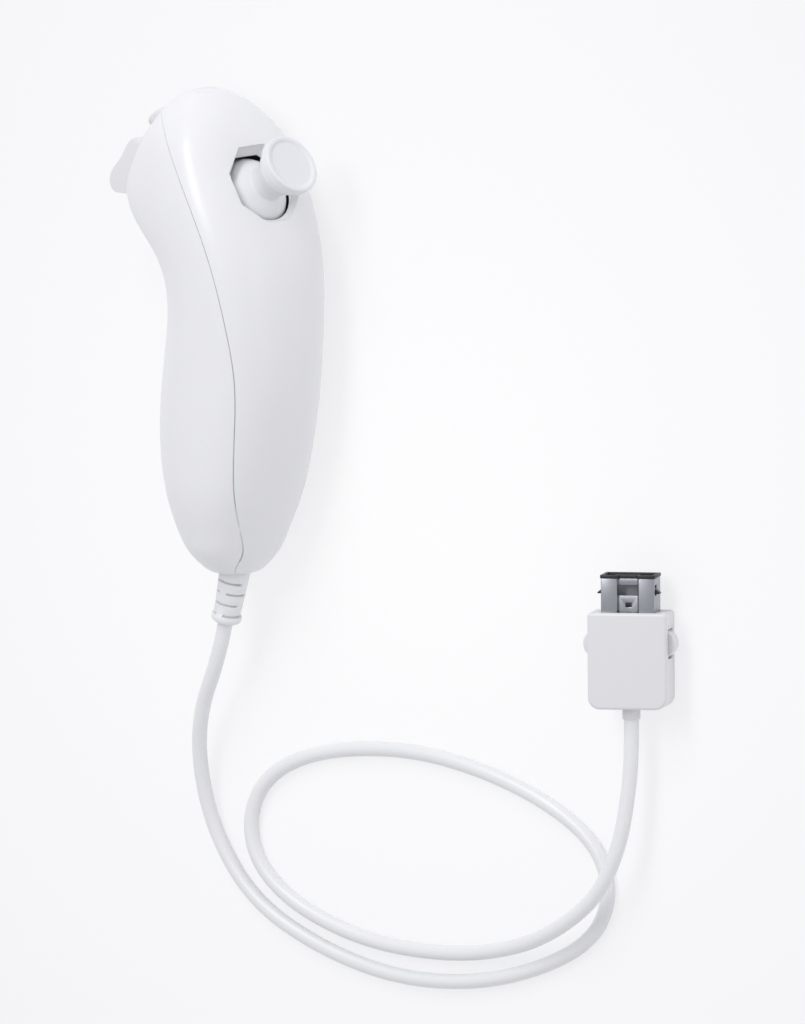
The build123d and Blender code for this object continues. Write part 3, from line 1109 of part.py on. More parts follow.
# Bright insert with its channel and the openings for the latch hooks
with BuildPart() as plug_shield:
    shield_length = SHIELD_ROOT + SHIELD_REACH
    shield_start = Location((0, PLUG_LENGTH - SHIELD_ROOT, 0))
    extrude(to_extrude=shield_outline(0).moved(shield_start), amount=shield_length, dir=(0, 1, 0))
    extrude(
        to_extrude=shield_outline(SHIELD_WALL).moved(shield_start),
        amount=shield_length, dir=(0, 1, 0), mode=Mode.SUBTRACT,
    )
    with BuildSketch(Plane.XY.offset(ARM_LOW - ARM_GAP)):
        with Locations((0, ARM_HOOK_PLACE + 0.8)):
            Rectangle(2 * SHIELD_WIDTH, 1.6 + 4 * ARM_GAP)
    extrude(amount=ARM_HEIGHT + 2 * ARM_GAP, mode=Mode.SUBTRACT)
    with BuildSketch(Plane.XY.offset(0)):
        with Locations(*[(0, place) for place in SHIELD_WINDOW_PLACES]):
            Rectangle(SHIELD_WINDOW_WIDTH, SHIELD_WINDOW_LENGTH)
    extrude(amount=SHIELD_HEIGHT, mode=Mode.SUBTRACT)

# Dark rim at the insert's mouth
with BuildPart() as plug_mouth_rim:
    rim_start = Location((0, PLUG_LENGTH + SHIELD_REACH, 0))
    extrude(to_extrude=shield_outline(-RIM_PROUD).moved(rim_start), amount=RIM_LENGTH, dir=(0, 1, 0))
    extrude(
        to_extrude=shield_outline(SHIELD_WALL + RIM_PROUD).moved(rim_start),
        amount=RIM_LENGTH, dir=(0, 1, 0), mode=Mode.SUBTRACT,
    )

# Insulator that carries the contacts inside the insert
block_half = SHIELD_WIDTH / 2 - SHIELD_WALL - SHIELD_FIT
block_low = SHIELD_HEIGHT / 2 - SHIELD_WALL - SHIELD_FIT
with BuildPart() as contact_block:
    with BuildSketch(Plane.XZ.offset(-PLUG_LENGTH)):
        with Locations((0, (TONGUE_TOP - block_low) / 2)):
            Rectangle(2 * block_half, TONGUE_TOP + block_low)
        with Locations((0, BLOCK_TOP / 2)):
            Rectangle(BLOCK_TOP_WIDTH, BLOCK_TOP)
    extrude(amount=SHIELD_ROOT)
    with BuildSketch(Plane.XZ.offset(-PLUG_LENGTH - SHIELD_REACH + TONGUE_RECESS)):
        with Locations((0, TONGUE_TOP - TONGUE_THICKNESS / 2)):
            Rectangle(TONGUE_WIDTH, TONGUE_THICKNESS)
    extrude(amount=SHIELD_REACH - TONGUE_RECESS)

with BuildPart() as contacts:
    with BuildSketch(Plane.XY.offset(TONGUE_TOP - TONGUE_THICKNESS)):
        with Locations((0, PLUG_LENGTH + (SHIELD_REACH - 2 * TONGUE_RECESS) / 2)):
            with GridLocations(CONTACT_PITCH, 1, CONTACT_COUNT, 1):
                Rectangle(CONTACT_WIDTH, SHIELD_REACH - 2 * TONGUE_RECESS)
    extrude(amount=-CONTACT_THICKNESS)

# Latch arms and the side buttons that press them in
with BuildPart() as latch_arm_left:
    add(latch_arm(-1))

with BuildPart() as latch_arm_right:
    add(latch_arm(1))

with BuildPart() as release_button_left:
    add(release_button(-1))

with BuildPart() as release_button_right:
    add(release_button(1))

# Collar of the cord in the plug's tail wall, and the cable behind it
with BuildPart() as plug_collar:
    with BuildSketch(Plane.XZ.offset(-PLUG_WALL)):
        Circle(COLLAR_RADIUS)
    extrude(amount=PLUG_WALL + COLLAR_LENGTH)
    with BuildSketch(Plane.XZ.offset(-PLUG_WALL - COLLAR_FLANGE)):
        Circle(COLLAR_RADIUS + COLLAR_FLANGE)
    extrude(amount=COLLAR_FLANGE)

with BuildPart() as plug_cable:
    with BuildSketch(Plane.XZ.offset(SHIELD_ROOT - PLUG_LENGTH)):
        Circle(INNER_CABLE_RADIUS)
    extrude(amount=PLUG_LENGTH - SHIELD_ROOT - PLUG_WALL - COLLAR_FLANGE)

# How the handset lies: rolled on its flank, centred on the origin, lowest point at zero
HANDSET = {
    "top_shell": top_shell, "bottom_shell": bottom_shell, "button_bezel": button_bezel,
    "z_trigger": z_trigger, "trigger_pin": trigger_pin, "c_button": c_button,
    "button_holder": button_holder, "button_membrane": button_membrane, "button_board": button_board,
    "button_ribbon": button_ribbon, "stick_cap": stick_cap, "stick_lever": stick_lever,
    "gimbal_lower": gimbal_lower, "gimbal_upper": gimbal_upper, "stick_housing": stick_housing,
    "angle_sensor_side": angle_sensor_side, "angle_sensor_tail": angle_sensor_tail,
    "spring_plate": spring_plate, "return_spring": return_spring, "main_board": main_board,
    "main_chip": main_chip, "motion_sensor": motion_sensor, "cable_connector": cable_connector,
    "board_screws": board_screws, "shell_screws": shell_screws, "cable_relief": cable_relief,
    "inner_cable": inner_cable,
}
HANDSET_TILT = Location((0, 0, 0), (HANDSET_PITCH, -HANDSET_ROLL, 0))
tilted_box = Compound([item.part.moved(HANDSET_TILT) for item in HANDSET.values()]).bounding_box()
HANDSET_PLACE = Location((-tilted_box.center().X, -tilted_box.center().Y, -tilted_box.min.Z)) * HANDSET_TILT

# How the plug lies: on its strap hook and one rear edge, turned by its place on the floor
hook_drop = HOOK_HEIGHT + PLUG_EDGE
hook_run = PLUG_WIDTH / 2 - PLUG_EDGE - HOOK_WIDTH / 2
plug_lean = atan2(hook_drop, hook_run) - asin(PLUG_EDGE / hypot(hook_drop, hook_run))
plug_height = HOOK_WIDTH / 2 * sin(plug_lean) + (PLUG_THICKNESS / 2 + HOOK_HEIGHT) * cos(plug_lean)
PLUG_PLACE = (
    Location((PLUG_FLOOR_PLACE[0], PLUG_FLOOR_PLACE[1], plug_height), (0, 0, PLUG_TURN))
    * Location((0, 0, 0), (0, degrees(plug_lean), 0))
)
PLUG = {
    "plug_front_cover": plug_front_cover, "plug_rear_cover": plug_rear_cover,
    "plug_shield": plug_shield, "plug_mouth_rim": plug_mouth_rim, "contact_block": contact_block,
    "contacts": contacts, "latch_arm_left": latch_arm_left, "latch_arm_right": latch_arm_right,
    "release_button_left": release_button_left, "release_button_right": release_button_right,
    "plug_collar": plug_collar, "plug_cable": plug_cable,
}

# Cord from the relief to the plug's collar, in straight runs joined by arcs
relief_end = HANDSET_PLACE * Location(RELIEF.offset(RELIEF_LENGTH))
collar_end = PLUG_PLACE * Location(Plane.XZ.offset(COLLAR_LENGTH))
cord_points = [
    relief_end.position,
    (relief_end * Location((0, 0, CORD_LEAD))).position,
    *[Vector(x, y, CORD_FLOOR_GAP + CORD_DIAMETER / 2 + lift) for x, y, lift in CORD_ROUTE],
    (collar_end * Location((0, 0, CORD_LEAD))).position,
    collar_end.position,
]
cord_radii = []
for before, corner, after in zip(cord_points, cord_points[1:], cord_points[2:]):
    run_in = corner - before
    run_out = after - corner
    half_turn = radians(run_in.get_angle(run_out)) / 2
    cord_radii.append(CORD_BEND_SHARE * min(run_in.length, run_out.length) / tan(half_turn))
with BuildPart() as cord:
    with BuildLine() as cord_path:
        FilletPolyline(*cord_points, radius=cord_radii)
    with BuildSketch(Plane(origin=cord_points[0], z_dir=cord_points[1] - cord_points[0])):
        Circle(CORD_DIAMETER / 2)
    sweep()

if __name__ == "__main__":
    cord.part.label = "cord"
    print("cord radii", [round(radius, 1) for radius in cord_radii])
    print("cord points", [tuple(round(value, 2) for value in point) for point in cord_points])
    cord_length = cord_path.wire().length
    cord_expected = cord_length * pi * CORD_DIAMETER**2 / 4
    print(f"cord length {cord_length:.1f}, volume {cord.part.volume:.1f}, expected {cord_expected:.1f}")
    export_step(cord.part, "parts/cord.step")
    print("handset place", HANDSET_PLACE.position, "lean", degrees(plug_lean), "height", plug_height)
    for name, item in HANDSET.items():
        item.part.label = name
        export_step(item.part.moved(HANDSET_PLACE), f"parts/{name}.step")
    for name, item in PLUG.items():
        item.part.label = name
        export_step(item.part.moved(PLUG_PLACE), f"parts/{name}.step")
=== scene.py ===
"""Looks of a one-handed motion game controller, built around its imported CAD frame.

The handset lies on its flank on a pale studio floor, with its cord in one loose loop and its plug
beside it. Every rigid piece keeps its CAD place. Curved pieces are smoother copies of the CAD
solids or are turned anew from their profiles, and each surface has its own moulded, drawn or
printed finish. Lengths are in millimetres until they reach Blender, which works in metres.
"""
import json
import logging
import math
from dataclasses import dataclass
from enum import Enum
from typing import Any

import bmesh
import bpy
import numpy as np
from mathutils import Matrix, Vector
from mathutils.bvhtree import BVHTree


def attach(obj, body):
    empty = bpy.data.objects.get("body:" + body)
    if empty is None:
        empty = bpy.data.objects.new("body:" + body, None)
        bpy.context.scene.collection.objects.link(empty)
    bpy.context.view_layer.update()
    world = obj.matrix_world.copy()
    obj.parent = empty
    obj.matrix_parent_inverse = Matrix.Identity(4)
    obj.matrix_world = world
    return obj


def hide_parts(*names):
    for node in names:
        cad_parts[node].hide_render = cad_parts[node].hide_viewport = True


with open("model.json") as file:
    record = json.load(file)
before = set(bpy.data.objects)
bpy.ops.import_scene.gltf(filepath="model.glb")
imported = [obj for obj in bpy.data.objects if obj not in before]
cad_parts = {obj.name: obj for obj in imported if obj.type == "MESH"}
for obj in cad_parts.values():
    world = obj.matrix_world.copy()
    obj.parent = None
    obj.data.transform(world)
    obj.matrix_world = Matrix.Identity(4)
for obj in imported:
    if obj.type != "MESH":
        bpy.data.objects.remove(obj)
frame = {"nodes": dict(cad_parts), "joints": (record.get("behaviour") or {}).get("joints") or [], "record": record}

log = logging.getLogger("controller")
MM = 0.001
# Gaps under which vertices merge, in millimetres: in CAD copies, spun seams and the skin's grid
COPY_MERGE = 0.002
SEAM_MERGE = 0.0005
GRID_MERGE = 0.01
# Turns in degrees: up to which CAD triangles are one flat face, and past which an edge stays hard
FLAT_TURN = 0.5
HARD_TURN = 32.0
# Most of an edge's length that one rounding of a profile takes
EDGE_SHARE = 0.49
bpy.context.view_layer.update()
JOINTS = {joint["name"]: joint for joint in frame["joints"]}
SLOTS = {part["node"]: part["material_slot"] for part in frame["record"]["subparts"]}
BODY_OF = {
    node: body
    for body, nodes in frame["record"]["behaviour"]["bodies"].items()
    for node in nodes
}


def linear(code: str) -> tuple[float, float, float, float]:
    """Turn an sRGB hex colour into Blender's linear RGBA.

    Args:
        code: A colour such as "#EDEDEE".

    Returns:
        The linear red, green, blue and an alpha of one.
    """
    channels = [int(code[place:place + 2], 16) / 255 for place in (1, 3, 5)]
    return (*[c / 12.92 if c <= 0.04045 else ((c + 0.055) / 1.055) ** 2.4 for c in channels], 1.0)


def add_node(
    tree: bpy.types.NodeTree,
    kind: str,
    settings: dict[str, Any] | None = None,
    links: dict[str, bpy.types.NodeSocket] | None = None,
) -> bpy.types.Node:
    """Add one shader node with its settings and its incoming links.

    Args:
        tree: The material's node tree.
        kind: The node's type name.
        settings: Values by input name, or by property name where no input has that name.
        links: Output sockets by the name of the input that they feed.

    Returns:
        The new node.
    """
    node = tree.nodes.new(kind)
    for name, value in (settings or {}).items():
        if name in node.inputs:
            node.inputs[name].default_value = value
        else:
            setattr(node, name, value)
    for name, socket in (links or {}).items():
        tree.links.new(socket, node.inputs[name])
    return node


def mix_tones(
    tree: bpy.types.NodeTree, factor: bpy.types.NodeSocket, first: str, second: str
) -> bpy.types.NodeSocket:
    """Mix two tones by a factor.

    Args:
        tree: The material's node tree.
        factor: The socket of the second tone's share.
        first: The first tone as sRGB hex.
        second: The second tone as sRGB hex.

    Returns:
        The socket of the mixed tone.
    """
    mix = add_node(tree, "ShaderNodeMix", {"data_type": "RGBA"}, {"Factor": factor})
    # A mix node has sockets of one name for each data type, and these are its colours
    mix.inputs[6].default_value = linear(first)
    mix.inputs[7].default_value = linear(second)
    return mix.outputs[2]


class Streaks(Enum):
    """How a finish's fine marks run, as the scale of its noise along the plug's axes."""

    NONE = (1.0, 1.0, 1.0)
    ALONG = (1.0, 0.06, 1.0)


# Settings of the slow noise under tone and gloss, and of the fine grain
SLOW_NOISE = {"Detail": 3.0, "Roughness": 0.45}
FINE_NOISE = {"Detail": 4.0, "Roughness": 0.6}
# Part of the slow noise's range over which the gloss changes
GLOSS_BAND = (0.2, 0.8)
# How far light goes under a waxy surface, in millimetres
BLEED_REACH = 1.2


@dataclass(frozen=True)
class Finish:
    """One real surface: what it is made of and how it was made.

    Attributes:
        name: The material's common name and how its surface was made.
        colour: The main tone as sRGB hex.
        shade: The tone that it drifts to over a few centimetres.
        roughness: The surface's middle roughness.
        roughness_drift: How far the roughness wanders either way.
        grain: Spacing of the fine surface grain in millimetres.
        grain_depth: Height of the grain in millimetres.
        metallic: One for bare metals and zero for the rest.
        ior: Index of refraction of a plastic.
        drift: Length over which tone and roughness wander, in millimetres.
        streaks: How drawn marks run, on a metal of the plug.
        bleed: Share of light that goes a short way under the surface.
    """

    name: str
    colour: str
    shade: str
    roughness: float
    roughness_drift: float
    grain: float
    grain_depth: float
    metallic: float = 0.0
    ior: float = 1.53
    drift: float = 30.0
    streaks: Streaks = Streaks.NONE
    bleed: float = 0.0

    def material(self) -> bpy.types.Material:
        """Build the finish's node material, once.

        Returns:
            The material.
        """
        found = bpy.data.materials.get(self.name)
        if found:
            return found
        made = bpy.data.materials.new(self.name)
        made.use_nodes = True
        tree = made.node_tree
        shader = tree.nodes["Principled BSDF"]
        place = add_node(tree, "ShaderNodeTexCoord").outputs["Object"]
        if self.streaks is not Streaks.NONE:
            turned = add_node(
                tree, "ShaderNodeMapping",
                {"Rotation": plug_placement().matrix().inverted().to_euler()}, {"Vector": place},
            )
            place = add_node(
                tree, "ShaderNodeMapping",
                {"Scale": self.streaks.value}, {"Vector": turned.outputs["Vector"]},
            ).outputs["Vector"]
        slow = add_node(
            tree, "ShaderNodeTexNoise",
            {"Scale": 1 / (self.drift * MM), **SLOW_NOISE}, {"Vector": place},
        )
        fine = add_node(
            tree, "ShaderNodeTexNoise",
            {"Scale": 1 / (self.grain * MM), **FINE_NOISE}, {"Vector": place},
        )
        tone = mix_tones(tree, slow.outputs["Fac"], self.colour, self.shade)
        gloss = add_node(
            tree, "ShaderNodeMapRange",
            {
                "interpolation_type": "SMOOTHSTEP",
                "From Min": GLOSS_BAND[0], "From Max": GLOSS_BAND[1],
                "To Min": self.roughness - self.roughness_drift,
                "To Max": self.roughness + self.roughness_drift,
            },
            {"Value": slow.outputs["Fac"]},
        )
        bump = add_node(
            tree, "ShaderNodeBump",
            {"Strength": 1.0, "Distance": self.grain_depth * MM}, {"Height": fine.outputs["Fac"]},
        )
        tree.links.new(tone, shader.inputs["Base Color"])
        tree.links.new(gloss.outputs["Result"], shader.inputs["Roughness"])
        tree.links.new(bump.outputs["Normal"], shader.inputs["Normal"])
        shader.inputs["Metallic"].default_value = self.metallic
        if not self.metallic:
            shader.inputs["IOR"].default_value = self.ior
        if self.bleed:
            shader.inputs["Subsurface Weight"].default_value = self.bleed
            shader.inputs["Subsurface Scale"].default_value = BLEED_REACH * MM
        return made


# Glossy white ABS from a polished mould: pale, cool and even, with soft broad highlights that run
# along the shoulders
CASING_ABS = Finish("ABS polished mould", "#EBEBED", "#E7E7EA", 0.32, 0.03, 0.5, 0.0006, bleed=0.08)
# White ABS from a satin mould: the plate and the keys look a shade greyer and softer
KEY_ABS = Finish("ABS satin mould", "#E2E2E5", "#DEDEE2", 0.4, 0.04, 0.35, 0.0012)
# Light grey POM of the thumb cap: a dull sheen, with patches that thumbs rub a little smoother
CAP_POM = Finish("POM satin mould", "#E6E7EA", "#E1E2E6", 0.36, 0.05, 0.4, 0.001, ior=1.48)
# Soft white PVC of the strain relief: waxy, with hardly a highlight
RELIEF_PVC = Finish(
    "PVC overmould", "#EAEBEE", "#E6E7EA", 0.42, 0.04, 0.5, 0.002, ior=1.52, bleed=0.1,
)
# White PVC drawn over the cord: a little glossier, with a pale line along its top
CORD_PVC = Finish(
    "PVC extruded jacket", "#EAEBED", "#E6E7E9", 0.33, 0.04, 0.6, 0.002, ior=1.52, bleed=0.1,
)
# White ABS of the plug: flat faces a touch greyer than the handset
PLUG_ABS = Finish("ABS plug moulding", "#E1E1E4", "#DDDDE1", 0.34, 0.03, 0.4, 0.001)
# Nickel plated steel of the insert: a cool grey mirror, blurred by faint lengthwise marks
INSERT_NICKEL = Finish(
    "nickel plated drawn steel", "#A9ACB2", "#9FA2A8", 0.35, 0.05, 0.12, 0.0012, metallic=1.0,
    drift=4.0, streaks=Streaks.ALONG,
)
# Glass filled nylon of the rim and the chips: near black and dull, with a coarse grain
BLACK_NYLON = Finish("glass filled nylon", "#1B1C1F", "#232428", 0.5, 0.05, 0.2, 0.002, drift=6.0)
# Blued spring steel of the latch arms: dark, with a long glint on each edge
SPRING_STEEL = Finish(
    "blued spring steel", "#3A3B40", "#47484D", 0.36, 0.06, 0.15, 0.001, metallic=1.0, drift=4.0,
    streaks=Streaks.ALONG,
)
# Grey PBT of the insulator: plain and matt, so the contacts stand out on it
GREY_PBT = Finish("PBT matt mould", "#8B8E94", "#84878D", 0.5, 0.04, 0.3, 0.0015, drift=8.0)
# Gold flashed bronze of the contacts: warm bright strips
GOLD_FLASH = Finish(
    "gold flashed bronze", "#D9B45C", "#CDA650", 0.34, 0.04, 0.15, 0.0008, metallic=1.0, drift=3.0,
    streaks=Streaks.ALONG,
)
# Green solder mask over glass cloth: deep green, with the cloth's fine ripple in its gloss
SOLDER_MASK = Finish(
    "solder mask on glass cloth", "#1C5A36", "#174E2E", 0.35, 0.05, 0.5, 0.003, drift=12.0,
)
# Grey acetal of the gimbals and the holder: mid grey and greasy smooth
GREY_POM = Finish("POM matt mould", "#5C5F64", "#54575C", 0.45, 0.05, 0.3, 0.0015, drift=10.0)
# Silicone of the switch pad: milky and soft, with light in its thin edges
SILICONE = Finish(
    "moulded silicone", "#C9CACB", "#BFC0C2", 0.55, 0.05, 0.4, 0.002, ior=1.41, drift=8.0,
    bleed=0.2,
)
# Zinc plated steel of pins, screws and housing: bright, with cloudy spangles
ZINC_STEEL = Finish(
    "zinc plated steel", "#B4B6B9", "#A4A7AC", 0.37, 0.07, 0.2, 0.0015, metallic=1.0, drift=3.0,
)
# Grey PVC of the cable inside and the film of the ribbon: plain mid grey
GREY_PVC = Finish("PVC grey jacket", "#9A9DA1", "#929599", 0.45, 0.05, 0.4, 0.002, drift=10.0)

SLOT_FINISHES = {
    "casing_white": CASING_ABS, "plate_white": KEY_ABS, "button_white": KEY_ABS,
    "stick_grey": CAP_POM, "relief_white": RELIEF_PVC, "cord_white": CORD_PVC,
    "plug_white": PLUG_ABS, "insert_steel": INSERT_NICKEL, "rim_black": BLACK_NYLON,
    "latch_steel": SPRING_STEEL, "insulator_grey": GREY_PBT, "contact_brass": GOLD_FLASH,
    "board_green": SOLDER_MASK, "chip_black": BLACK_NYLON, "mechanism_grey": GREY_POM,
    "housing_steel": ZINC_STEEL, "pad_rubber": SILICONE, "pin_steel": ZINC_STEEL,
    "cable_grey": GREY_PVC,
}


@dataclass(frozen=True)
class Placement:
    """Where a sub-assembly's own frame lies in the row frame.

    Attributes:
        origin: Its origin in metres.
        x: Its X axis as a unit vector.
        y: Its Y axis.
        z: Its Z axis.
    """

    origin: Vector
    x: Vector
    y: Vector
    z: Vector

    def matrix(self) -> Matrix:
        """Return the matrix from the own frame, in metres, to the row frame."""
        made = Matrix.Identity(4)
        for column, axis in enumerate((self.x, self.y, self.z)):
            made.col[column][:3] = axis
        made.col[3][:3] = self.origin
        return made

    def point(self, x: float, y: float, z: float) -> Vector:
        """Move a point from the own frame to the row frame.

        Args:
            x: Its place along X in millimetres.
            y: Its place along Y.
            z: Its place along Z.

        Returns:
            The same point in the row frame, in metres.
        """
        return self.origin + (self.x * x + self.y * y + self.z * z) * MM


# Foot and head of the front face and the gate's centre in the handset's frame, (thumb, along)
FACE_FOOT = (-26.5, 82.5)
FACE_HEAD = (-14.0, 107.5)
GATE_CENTRE = (10.3, 91.5)
# Height of the gate's centre over the stick's pivot, and the stick's lean towards the head
GATE_HEIGHT = 8.6
STICK_LEAN = math.radians(33.7)
# Place of the left latch arm's post in the plug's frame, as (across, along)
ARM_POST = (-5.45, 2.9)


def handset_placement() -> Placement:
    """Work out the handset's frame from its joints' axes and pivots.

    Returns:
        X towards the thumb, Y along the handset from its tail, Z across it.
    """
    run_x, run_y = FACE_HEAD[0] - FACE_FOOT[0], FACE_HEAD[1] - FACE_FOOT[1]
    length = math.hypot(run_x, run_y)
    across = Vector(JOINTS["z_trigger_press"]["axis"])
    out = -Vector(JOINTS["c_button_press"]["axis"])
    run = out.cross(across)
    x = run * (run_x / length) - out * (run_y / length)
    y = run * (run_y / length) + out * (run_x / length)
    pivot_x = GATE_CENTRE[0] - GATE_HEIGHT * math.cos(STICK_LEAN)
    pivot_y = GATE_CENTRE[1] - GATE_HEIGHT * math.sin(STICK_LEAN)
    pivot = Vector(JOINTS["stick_tilt_across"]["pos_m"])
    return Placement(pivot - (x * pivot_x + y * pivot_y) * MM, x, y, across)


def stick_placement() -> Placement:
    """Work out the stick's frame from its joints.

    Returns:
        X across the handset, Z along the lever.
    """
    handset = handset_placement()
    lever = handset.x * math.cos(STICK_LEAN) + handset.y * math.sin(STICK_LEAN)
    across = Vector(JOINTS["stick_tilt_along"]["axis"])
    pivot = Vector(JOINTS["stick_tilt_across"]["pos_m"])
    return Placement(pivot, across, lever.cross(across), lever)


def plug_placement() -> Placement:
    """Work out the plug's frame from its release buttons and latch arms.

    Returns:
        X from the left button to the right one, Y along the plug, Z towards its front.
    """
    x = Vector(JOINTS["release_press_left"]["axis"])
    z = -Vector(JOINTS["latch_turn_left"]["axis"])
    y = z.cross(x)
    post = Vector(JOINTS["latch_turn_left"]["pos_m"])
    return Placement(post - (x * ARM_POST[0] + y * ARM_POST[1]) * MM, x, y, z)


def new_object(name: str, data: bpy.types.ID) -> bpy.types.Object:
    """Put a new object into the scene.

    Args:
        name: Its name.
        data: Its mesh, curve, lamp or camera.

    Returns:
        The object.
    """
    made = bpy.data.objects.new(name, data)
    bpy.context.scene.collection.objects.link(made)
    return made


def mesh_object(name: str, shape: bmesh.types.BMesh) -> bpy.types.Object:
    """Turn a finished bmesh into a new object.

    Args:
        name: The object's name.
        shape: The bmesh, freed here.

    Returns:
        The object.
    """
    mesh = bpy.data.meshes.new(name)
    shape.to_mesh(mesh)
    shape.free()
    return new_object(name, mesh)


def stand_in(piece: bpy.types.Object, node: str) -> bpy.types.Object:
    """Let a piece stand for a CAD node, with the node's finish and on its body.

    Args:
        piece: The piece, in the row frame.
        node: The CAD node's name.

    Returns:
        The same piece.
    """
    slot = SLOTS[node]
    piece.data.materials.append(SLOT_FINISHES[slot].material())
    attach(piece, BODY_OF[node])
    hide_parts(node)
    log.info("piece %s stands for %s on %s", piece.name, node, BODY_OF[node])
    return piece


def merged_copy(node: str, flat: float = FLAT_TURN) -> bmesh.types.BMesh:
    """Copy a CAD node's loose triangles into one connected mesh with its flat faces whole.

    Args:
        node: The CAD node's name.
        flat: Largest turn between triangles of one flat face, in degrees. At zero all stay.

    Returns:
        The merged copy, in the row frame.
    """
    shape = bmesh.new()
    shape.from_mesh(frame["nodes"][node].data)
    bmesh.ops.remove_doubles(shape, verts=shape.verts, dist=COPY_MERGE * MM)
    if flat:
        bmesh.ops.dissolve_limit(
            shape, angle_limit=math.radians(flat), use_dissolve_boundaries=False,
            verts=shape.verts, edges=shape.edges,
        )
    return shape


def shade(shape: bmesh.types.BMesh, sharp: float = HARD_TURN) -> None:
    """Shade a mesh smooth, with a hard line where its faces turn by more than an angle.

    Args:
        shape: The mesh.
        sharp: The turn in degrees past which an edge stays hard.
    """
    limit = math.radians(sharp)
    for face in shape.faces:
        face.smooth = True
    for edge in shape.edges:
        edge.smooth = len(edge.link_faces) == 2 and edge.calc_face_angle(0.0) < limit


@dataclass(frozen=True)
class Rounding:
    """How a piece's sharp outward edges are rounded.

    Attributes:
        width: Width of the rounding in millimetres.
        turn: Turn in degrees past which an edge is rounded.
        steps: Faces across the rounding.
    """

    width: float
    turn: float = 60.0
    steps: int = 2


def round_edges(
    shape: bmesh.types.BMesh, edges: list[bmesh.types.BMEdge], rounding: Rounding
) -> None:
    """Round the given edges of a mesh.

    Args:
        shape: The mesh.
        edges: The edges to round.
        rounding: The rounding's width and steps.
    """
    bmesh.ops.bevel(
        shape, geom=edges, offset=rounding.width * MM, offset_type="OFFSET",
        segments=rounding.steps, profile=0.5, affect="EDGES", material=-1, clamp_overlap=True,
    )


def sharp_edges(shape: bmesh.types.BMesh, angle: float) -> list[bmesh.types.BMEdge]:
    """List the outward edges whose faces turn by more than an angle in degrees."""
    limit = math.radians(angle)
    return [
        edge for edge in shape.edges
        if len(edge.link_faces) == 2 and edge.calc_face_angle(0.0) > limit and edge.is_convex
    ]


def fine_copy(
    node: str, rounding: Rounding | None = None, sharp: float = HARD_TURN
) -> bpy.types.Object:
    """Replace a CAD node by its merged copy, with its sharp edges rounded and its curves smooth.

    Args:
        node: The CAD node's name.
        rounding: The rounding of its sharp outward edges, if they are rounded.
        sharp: Turn in degrees past which an edge keeps a hard line.

    Returns:
        The new piece.
    """
    shape = merged_copy(node)
    if rounding:
        round_edges(shape, sharp_edges(shape, rounding.turn), rounding)
    shade(shape, sharp)
    return stand_in(mesh_object(f"{node}_fine", shape), node)


@dataclass(frozen=True)
class PieceGroup:
    """CAD nodes whose copies have the same rounding.

    Attributes:
        nodes: The nodes' names.
        rounding: The rounding of their sharp outward edges, if they are rounded.
    """

    nodes: tuple[str, ...]
    rounding: Rounding | None = None

    def build(self) -> list[bpy.types.Object]:
        """Return a new piece for each node."""
        return [fine_copy(node, self.rounding) for node in self.nodes]


def rounded_profile(
    corners: list[tuple[float, float, float]], steps: int = 6
) -> list[tuple[float, float]]:
    """Round the corners of an open profile.

    Args:
        corners: Its corners as (radius from the axis, height, size of the rounding).
        steps: Points across each rounding.

    Returns:
        The rounded profile's points.
    """
    points = [corners[0][:2]]
    for before, corner, after in zip(corners, corners[1:], corners[2:]):
        middle = Vector(corner[:2])
        run_in, run_out = Vector(before[:2]) - middle, Vector(after[:2]) - middle
        size = min(corner[2], run_in.length * EDGE_SHARE, run_out.length * EDGE_SHARE)
        if size <= 0:
            points.append(tuple(middle))
            continue
        start, end = middle + run_in.normalized() * size, middle + run_out.normalized() * size
        for step in range(steps + 1):
            t = step / steps
            points.append(tuple(start * (1 - t) ** 2 + middle * (2 * t * (1 - t)) + end * t * t))
    points.append(corners[-1][:2])
    return points


def spun(profile: list[tuple[float, float]], place: Placement, steps: int) -> bmesh.types.BMesh:
    """Spin an open profile round a placement's Z axis.

    Args:
        profile: Points as (radius, height) in millimetres, from end to end.
        place: The placement that it is spun in.
        steps: Faces round the turn.

    Returns:
        The spun mesh in the row frame, closed up along its seam.
    """
    shape = bmesh.new()
    verts = [shape.verts.new(place.point(radius, 0, height)) for radius, height in profile]
    edges = [shape.edges.new(pair) for pair in zip(verts, verts[1:])]
    bmesh.ops.spin(
        shape, geom=verts + edges, cent=place.origin, axis=place.z, dvec=(0, 0, 0),
        angle=math.tau, steps=steps, use_merge=True, use_duplicate=False,
    )
    bmesh.ops.remove_doubles(shape, verts=shape.verts, dist=SEAM_MERGE * MM)
    bmesh.ops.recalc_face_normals(shape, faces=shape.faces)
    return shape


def spline_through(places: np.ndarray, values: np.ndarray, wanted: np.ndarray) -> np.ndarray:
    """Draw a smooth curve through values given at places, as a loft does.

    Args:
        places: Rising places, one for each row of values.
        values: One row of numbers for each place.
        wanted: The places to read the curve at.

    Returns:
        One row of numbers for each wanted place.
    """
    steps = np.diff(places)
    count = len(places)
    system = np.eye(count)
    right = np.zeros_like(values)
    for row in range(1, count - 1):
        system[row, row - 1] = steps[row - 1]
        system[row, row] = 2 * (steps[row - 1] + steps[row])
        system[row, row + 1] = steps[row]
        right[row] = 6 * (
            (values[row + 1] - values[row]) / steps[row]
            - (values[row] - values[row - 1]) / steps[row - 1]
        )
    bends = np.linalg.solve(system, right)
    lower = np.clip(np.searchsorted(places, wanted, side="right") - 1, 0, count - 2)
    step = steps[lower][:, None]
    up = (wanted - places[lower])[:, None]
    down = step - up
    return (
        (bends[lower] * down**3 + bends[lower + 1] * up**3) / (6 * step)
        + (values[lower] / step - bends[lower] * step / 6) * down
        + (values[lower + 1] / step - bends[lower + 1] * step / 6) * up
    )


